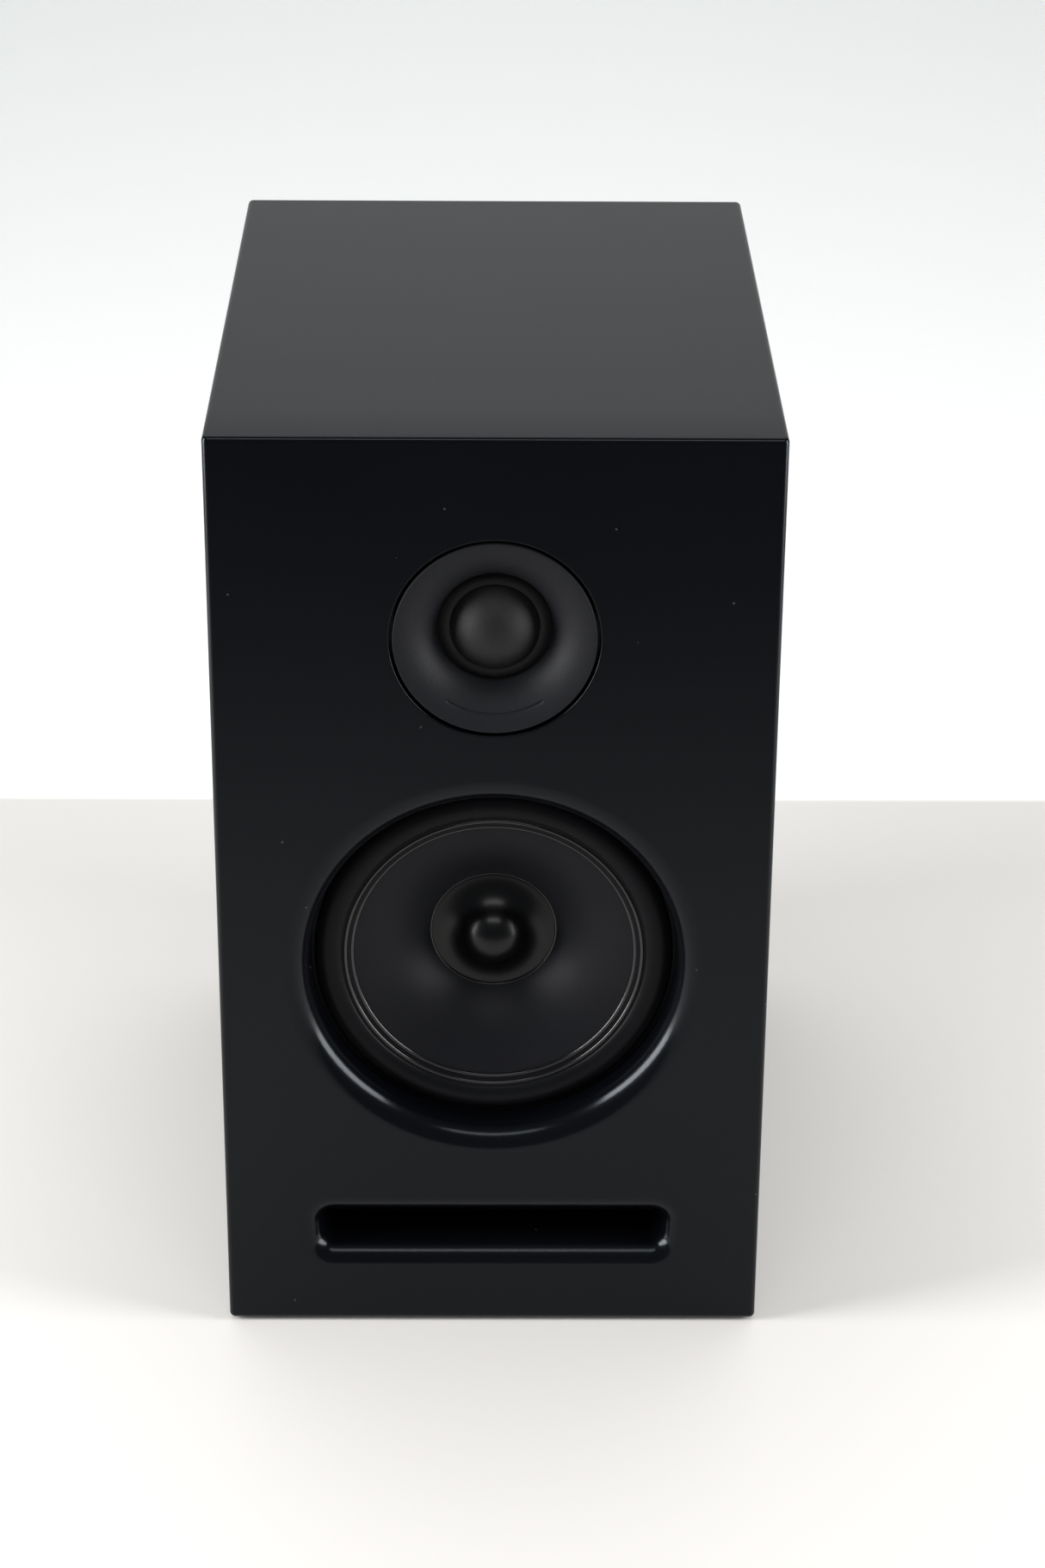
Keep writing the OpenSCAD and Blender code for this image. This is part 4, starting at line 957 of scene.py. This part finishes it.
# The box's fixings stand in from the edges of what they hold
f, boardAt, ductAt = fixings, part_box("board_screws")[0].y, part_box("port_duct_screws")[1].y
backSpots = [(x * (panel.x - f["backInset"]), backY, panelZ + z * f["backReach"])
    for x in (-1, 1) for z in (-1, 0, 1)]
backSpots += [(0, backY, panelZ + z * (panel.z - f["backInset"])) for z in (-1, 1)]
wooferAngles, tweeterAngles = range(30, 360, 60), (-90, 30, 150)
deep = {node: span(node).y * 2 / mm for node in ("woofer_screws", "tweeter_screws")}
top = {node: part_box(node)[1].y for node in deep}
screwPlan = {  # node, then shank, head, head height and length, then places and direction
    "back": ("back_screws", (1.75, 3.5, 0, 30), backSpots, intoBack),
    "cup": ("terminal_cup_screws", (1.6, 3, 0, 12),
        corners(cup.x - f["cupInset"], backY, cup.z - f["cupInset"], cupZ), intoBack),
    "board": ("board_screws", (1.6, 2.9, 2, 16.6),
        corners(board.x - f["boardInset"], boardAt, board.z - f["boardInset"], boardZ), intoFront),
    "duct": ("port_duct_screws", (1.75, 3, 2.4, 14),
        corners(f["ductX"], ductAt, f["ductZ"], ductZ), intoBack),
    "woofer": ("woofer_screws", (1.75, 2.9, 2.4, deep["woofer_screws"] - 2.4),
        onCircle(f["wooferRing"], wooferAngles, top["woofer_screws"], wooferZ), intoBack),
    "tweeter": ("tweeter_screws", (1.6, 2.9, 2, deep["tweeter_screws"] - 2),
        onCircle(f["tweeterRing"], tweeterAngles, top["tweeter_screws"], tweeterZ), intoBack),
}
for name, (node, size, spots, turn) in screwPlan.items():
    scatter(name + "Screws", node, screw(name + "Screw", slotOf[node], *size), spots, turn)
print("screws made")

padShape = {"radius": 6,
    "profile": [(0, 0), (5.4, 0), (5.85, 0.12), (6, 0.4), (6, 0.8), (5.9, 1.0), (0, 1.0)]}
pad = turned("footPad", padShape["profile"], "foot_felt", (0, 0, 0), (0, 0, 0), 48)
padX, padY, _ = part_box("foot_pads")[1] - Vector([padShape["radius"] * mm] * 3)
scatter("footPads", "foot_pads", pad, [(x * padX, y * padY, 0) for x in (-1, 1) for y in (-1, 1)], (0, 0, 0))

postShape = {"stem": 3.2, "core": 2.86, "bore": 2.05, "start": 5.0, "deep": 16.0, "collar": 6.6,
    "collarAt": 26.0, "floor": 30.0, "end": 45.0, "pitch": 1.0, "hole": 1.5, "holeAt": 23.6, "drill": 8,
    "around": 48}
nutShape = {"outer": 7.28, "ribs": (16, 0.22, 6.7), "bore": 3.28, "top": 10.0, "bottom": 25.0}
washerShape = [(3.28, 25.0), (6.4, 25.0), (6.6, 25.2), (6.6, 25.8), (6.4, 26.0), (3.28, 26.0), (3.28, 25.0)]


def makePost(name, node, x):
    q = postShape
    core, stem, bore, start, collar, at = (q[k]
        for k in ("core", "stem", "bore", "start", "collar", "collarAt"))
    socket = ((bore * 0.02, start + q["deep"]), (bore, start + q["deep"]), (bore, start + 0.3),
        (bore + 0.3, start), (core - 0.35, start))
    foot = ((stem, at), (collar - 0.3, at), (collar, at + 0.3), (collar, q["floor"]), (stem, q["floor"]),
        (stem, q["end"] - 0.4), (stem - 0.4, q["end"]))
    thread, run = [], at - start - 0.4
    steps = int(run / q["pitch"] * threadLook["perTurn"])
    for k in range(steps + 1):
        z = start + 0.25 + run * k / steps
        thread.append((winding(core, stem - 0.35 * max(0, 1 - k / 6), z, q["pitch"]), z))
    rings = [(circle(r), z) for r, z in socket] + thread + [(circle(r), z) for r, z in foot]
    post = skin(name + "Stem", rings, "brass", q["around"])
    drill = skin(name + "Drill", [(circle(q["hole"]), -q["drill"]), (circle(q["hole"]), q["drill"])],
        "brass", 32)
    post.data.transform(Matrix.Translation((x, backY, cupZ)) @ Matrix.Rotation(intoBack[0], 4, "X"))
    drill.data.transform(Matrix.Translation((x, backY - q["holeAt"] * mm, cupZ)))
    cut = post.modifiers.new("crossHole", "BOOLEAN")
    cut.operation, cut.object, cut.solver = "DIFFERENCE", drill, "EXACT"
    mesh = baked(post)
    bpy.data.objects.remove(drill)
    settle(tidyMesh(linked(name, mesh), 40), node)


def makeNut(name, node, x):
    n = nutShape
    r, top, low = n["outer"], n["top"], n["bottom"]
    profile = [(n["bore"], low), (n["bore"], top + 0.4), (n["bore"] + 0.4, top)]
    profile += arcPoints(r - 1.4, top + 1.4, 1.4, -90, 0, 8) + [(r, top + 2), (r, low - 1.5)]
    profile += arcPoints(r - 0.7, low - 0.7, 0.7, 0, 90, 6) + [(n["bore"], low)]
    settle(turned(name, profile, slotOf[node], (x, backY, cupZ), intoBack, 192, 50, n["ribs"]), node)


for colour in ("red", "black"):
    x = middle(colour + "_post").x
    makePost(colour + "Post", colour + "_post", x)
    makeNut(colour + "Nut", colour + "_post_nut", x)
    settle(turned(colour + "Washer", washerShape, "brass", (x, backY, cupZ), intoBack, 64),
        colour + "_post_washer")
print("terminals made")

spiderShape = {"inner": 16.15, "outer": 41.0, "flat": 4.0, "waves": 4, "wave": 1.35,
    "thick": 0.6, "steps": 72}


def makeSpider():
    q = spiderShape
    mid = (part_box("woofer_spider")[0].y - frontY) / mm + q["wave"]
    reach, steps = q["outer"] - q["flat"] - q["inner"], q["steps"]
    top = [(q["inner"] + reach * k / steps, mid + q["wave"] * math.sin(2 * math.pi * q["waves"] * k / steps))
        for k in range(steps + 1)]
    top += [(q["outer"] - q["flat"] + 1, mid + q["thick"]), (q["outer"], mid + q["thick"])]
    shell = top + [(r, d + q["thick"]) for r, d in reversed(top)]
    return turned("wooferSpider", shell + shell[:1], "spider_cloth", wooferAt, rounds=160, sharpAngle=60)


bendRound(makeSpider(), "woofer_spider", "woofer_diaphragm", wooferAt,
    spiderShape["inner"] + 0.6, spiderShape["outer"] - spiderShape["flat"])


# Layers of wire between two ends, each turn a closed ring
def makeWinding(name, node, inner, wire, layers, turns, centre, turn):
    piece = grow(name, windingShape, "coil_copper", [(0, 0, 0)], sharpAngle=80, Turns=turns, Layers=layers,
        Radius=inner * mm, Wire=wire * mm, Centre=tuple(centre), Turn=turn)
    settle(piece, node)


coilShape = {"radius": 16.46, "wire": 0.43, "layers": 1, "turns": 16, "inset": 0.45}
chokeWires = {"woofer_choke": 0.7, "tweeter_choke": 0.42}
coilPlace = (0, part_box("woofer_voice_coil")[0].y + coilShape["inset"] * mm, wooferZ)
makeWinding("wooferCoil", "woofer_voice_coil", *[coilShape[k] for k in ("radius", "wire", "layers", "turns")],
    coilPlace, intoFront)
for node, wire in chokeWires.items():
    low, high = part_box(node)
    outer, turns = (high.x - low.x) / 2 / mm, int((high.y - low.y) / mm / (2 * wire))
    layers = int((outer * 0.55 - 2 * wire) / (wire * layerStep)) + 1
    inner = outer - wire - (layers - 1) * wire * layerStep
    place = ((low.x + high.x) / 2, high.y - wire * mm, (low.z + high.z) / 2)
    makeWinding(camel(node), node, inner, wire, layers, turns, place, intoBack)
print("coils made")

leadLook = {"radius": 1.2, "steps": 40, "sides": 16, "apart": 5, "sunk": 0.05, "wooferEnd": 70}
tinselLook = {"radius": 0.6, "coneAt": 25.5, "behindCone": 2.9, "basketAt": 44.5, "bend": (28, 42)}


def bezier(p, a, b, q, t):
    p, a, b, q = (Vector(v) for v in (p, a, b, q))
    u = 1 - t
    return p * u ** 3 + (p + a) * (3 * u * u * t) + (q + b) * (3 * u * t * t) + q * t ** 3


def leads(name, node, paths, radius):
    points, edges = [], []
    for p, a, b, q in paths:
        first = len(points)
        points += [bezier(p, a, b, q, k / leadLook["steps"]) * mm for k in range(leadLook["steps"] + 1)]
        edges += [(first + k, first + k + 1) for k in range(leadLook["steps"])]
    return grow(name, tubeShape, slotOf[node], points, edges, sharpAngle=60, Radius=radius * mm,
        Sides=leadLook["sides"])


frontMm, boardMm, cupMm, wooferMm, tweeterMm = (v / mm for v in (frontY, boardZ, cupZ, wooferZ, tweeterZ))
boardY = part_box("crossover_board")[0].y / mm - leadLook["sunk"]
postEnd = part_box("red_post")[0].y / mm - leadLook["sunk"]
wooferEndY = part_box("woofer_spider")[0].y / mm + spiderShape["wave"] - 1
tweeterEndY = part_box("tweeter_wires")[0].y / mm
endZ = wooferMm + leadLook["wooferEnd"]
# The curve's weights two thirds along, where the wires pass the brace's window below the tweeter
passRise = (tweeterMm - 36 - 0.27 * (boardMm + 4) - 0.73 * endZ) / 0.44
postX = middle("black_post").x / mm
half, apart = board.z / mm, leadLook["apart"]
wiring = {  # start, its pull, the end's pull, end
    "input_wires": [((x * postX, postEnd, cupMm), (0, -20, 0), (0, -30, 0),
        (x * 6, boardY, boardMm + 4 - half)) for x in (-1, 1)],
    "woofer_wires": [((x * apart, boardY, boardMm + 4), (0, -60, 0), (0, 60, passRise),
        (x * apart, wooferEndY, endZ)) for x in (-1, 1)],
    "tweeter_wires": [((x * apart, boardY, boardMm + half - 12), (0, -60, 0), (0, 60, 0),
        (x * apart, tweeterEndY, tweeterMm - 22.4)) for x in (-1, 1)],
}
for node, paths in wiring.items():
    settle(leads(camel(node), node, paths, leadLook["radius"]), node)
c = tinselLook
tinselEnd = frontMm + coneDepth(c["coneAt"]) + c["behindCone"]
tinselPaths = [((x * apart, wooferEndY - 1.2, wooferMm - c["basketAt"]), (0, -9, 1), (0, 7, -5),
    (x * apart, tinselEnd, wooferMm - c["coneAt"])) for x in (-1, 1)]
tinsel = leads("wooferTinsel", "woofer_tinsel_leads", tinselPaths, c["radius"])
bendRound(tinsel, "woofer_tinsel_leads", "woofer_diaphragm", wooferAt, *c["bend"])
print("wires made")

feltShape = {"across": 14, "along": 44, "edge": 0.25, "crown": 0.72, "lump": 22.0, "rough": 0.24, "seed": 3.7}


# A felt pad from its box: flat against the wall on one side, crowned and lumpy on the other
def makeFelt(name, node, walls):
    f = feltShape
    points, faces = [], []
    na, row = f["across"], f["along"] + 1
    size = (na + 1) * row
    for low, high, axis, side in walls:
        first = len(points)
        wall, inwards = (high[axis], -1) if side > 0 else (low[axis], 1)
        for layer in (0, 1):
            for i, j in [(i, j) for i in range(na + 1) for j in range(row)]:
                u, v = 2 * i / na - 1, 2 * j / f["along"] - 1
                pull = 1 - 0.02 * (u * u + v * v)
                place = [0.0, 0.0, 0.0]
                for k, share in zip([k for k in range(3) if k != axis], (u, v)):
                    place[k] = (low[k] + high[k]) / 2 + share * pull * (high[k] - low[k]) / 2
                edge = (1 - abs(u) ** 8) * (1 - abs(v) ** 8)
                rough = lumps.noise(Vector((place[0] + f["seed"], place[1], place[2])) * f["lump"] * 2)
                deep = f["edge"] + edge * (f["crown"] - f["edge"] + f["rough"] * rough)
                place[axis] = wall + inwards * ((high[axis] - low[axis]) * deep if layer else 0.2 * mm)
                points.append(place)
        for base in (first, first + size):
            faces += [(base + q, base + q + 1, base + q + row + 1, base + q + row)
                for q in [i * row + j for i in range(na) for j in range(row - 1)]]
        rim = [i * row for i in range(na)] + [na * row + j for j in range(row - 1)]
        rim += [i * row + row - 1 for i in range(na, 0, -1)] + [j for j in range(row - 1, 0, -1)]
        faces += [(first + a, first + b, first + size + b, first + size + a)
            for a, b in zip(rim, rim[1:] + rim[:1])]
    piece = newPiece(name, points, faces, slotOf[node], 80)
    settle(piece, node)


low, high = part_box("side_lining")
topLow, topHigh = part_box("top_lining")
thick = topHigh.z - topLow.z
makeFelt("sideLining", "side_lining", [(low, (low.x + thick, high.y, high.z), 0, -1),
    ((high.x - thick, low.y, low.z), high, 0, 1)])
makeFelt("topLining", "top_lining", [(topLow, topHigh, 2, 1)])
print("linings made")

stageShape = {"width": 4.0, "front": -3.0, "wall": 2.0, "height": 4.0}
lightPlan = {
    "overhead": {"place": (0.0, -0.89, 1.19), "aim": (0, -0.12, 0.14), "size": (0.9, 0.2), "power": 3.2},
    "leftPanel": {"place": (-0.92, -0.32, 0.4), "aim": (0, -0.2, 0.24), "size": (0.4, 0.76), "power": 18},
    "rightPanel": {"place": (0.92, -0.32, 0.4), "aim": (0, -0.2, 0.24), "size": (0.4, 0.76), "power": 13},
    "floorWash": {"place": (0.0, 0.95, 2.3), "aim": (0, 1.15, 0), "size": (2.8, 2.2), "power": 40},
    "wallWash": {"place": (0.0, 0.9, 3.2), "aim": (0, 2.0, 1.2), "size": (3.0, 0.6), "power": 5},
}
# The near tone is painted shade: the floor in front of the speaker darkens to it, so that the paint reflects
# a dark floor there
stageTones = {"floor": (0.63, 0.612, 0.59), "near": (0.17, 0.168, 0.165), "far": (0.93, 0.94, 0.93),
    "backdrop": (0.6, 0.61, 0.61), "nearY": (-0.9, -0.3), "farY": (0.289, 0.295), "rough": 0.7,
    "specular": 0.3}
worldLook = {"colour": (0.9, 0.95, 1.0), "strength": 0.17}
cameraPlan = {"lens": 84.5, "place": (-0.0031, -1.2135, 0.7354), "pitch": 25.80, "yaw": -0.65, "roll": 0.43,
    "sensor": 36, "clipEnd": 20}


# A plane of the studio: towards the viewer its tone darkens, as painted shade, and behind the speaker it
# changes once more
def stagePiece(name, corners, colour, near, far):
    def tones(place):
        depth = parts(place)[1]
        tone = blendColour(between(depth, *stageTones["nearY"]), near, colour)
        tone = blendColour(between(depth, *stageTones["farY"]), tone, far)
        return {"Base Color": tone, "Roughness": stageTones["rough"]}

    newFinish(name, tones, Specular_IOR_Level=stageTones["specular"])
    mesh = bpy.data.meshes.new(name)
    mesh.from_pydata(corners, [], [(0, 1, 2, 3)])
    mesh.materials.append(finishes[name])
    linked(name, mesh)


w, front, back, h = (stageShape[k] for k in ("width", "front", "wall", "height"))
stagePiece("floor", [(-w, front, 0), (w, front, 0), (w, back, 0), (-w, back, 0)],
    *[stageTones[k] for k in ("floor", "near", "far")])
stagePiece("backdrop", [(-w, back, 0), (w, back, 0), (w, back, h), (-w, back, h)],
    *[stageTones["backdrop"]] * 3)
for name, plan in lightPlan.items():
    lamp = bpy.data.lights.new(name, "AREA")
    lamp.shape, (lamp.size, lamp.size_y), lamp.energy = "RECTANGLE", plan["size"], plan["power"]
    holder = linked(name, lamp)
    holder.location = plan["place"]
    holder.rotation_euler = (Vector(plan["aim"]) - Vector(plan["place"])).to_track_quat("-Z", "Y").to_euler()
world = bpy.data.worlds.new("studio")
scene.world = world
world.use_nodes = True
world.node_tree.nodes["Background"].inputs["Color"].default_value = shade(worldLook["colour"])
world.node_tree.nodes["Background"].inputs["Strength"].default_value = worldLook["strength"]
scene.view_settings.view_transform = "Standard"

camera = linked("camera", bpy.data.cameras.new("camera"))
lens = camera.data
lens.lens, lens.sensor_width, lens.clip_end = (cameraPlan[k] for k in ("lens", "sensor", "clipEnd"))
pitch, yaw, roll = (math.radians(cameraPlan[k]) for k in ("pitch", "yaw", "roll"))
ahead = Vector((-math.sin(yaw) * math.cos(pitch), math.cos(yaw) * math.cos(pitch), -math.sin(pitch)))
right = Vector((math.cos(yaw), math.sin(yaw), 0))
up = right.cross(ahead)
right, up = right * math.cos(roll) + up * math.sin(roll), up * math.cos(roll) - right * math.sin(roll)
turn = Matrix((right, up, -ahead)).transposed().to_4x4()
camera.matrix_world = Matrix.Translation(cameraPlan["place"]) @ turn
scene.camera = camera

print("scene ready")
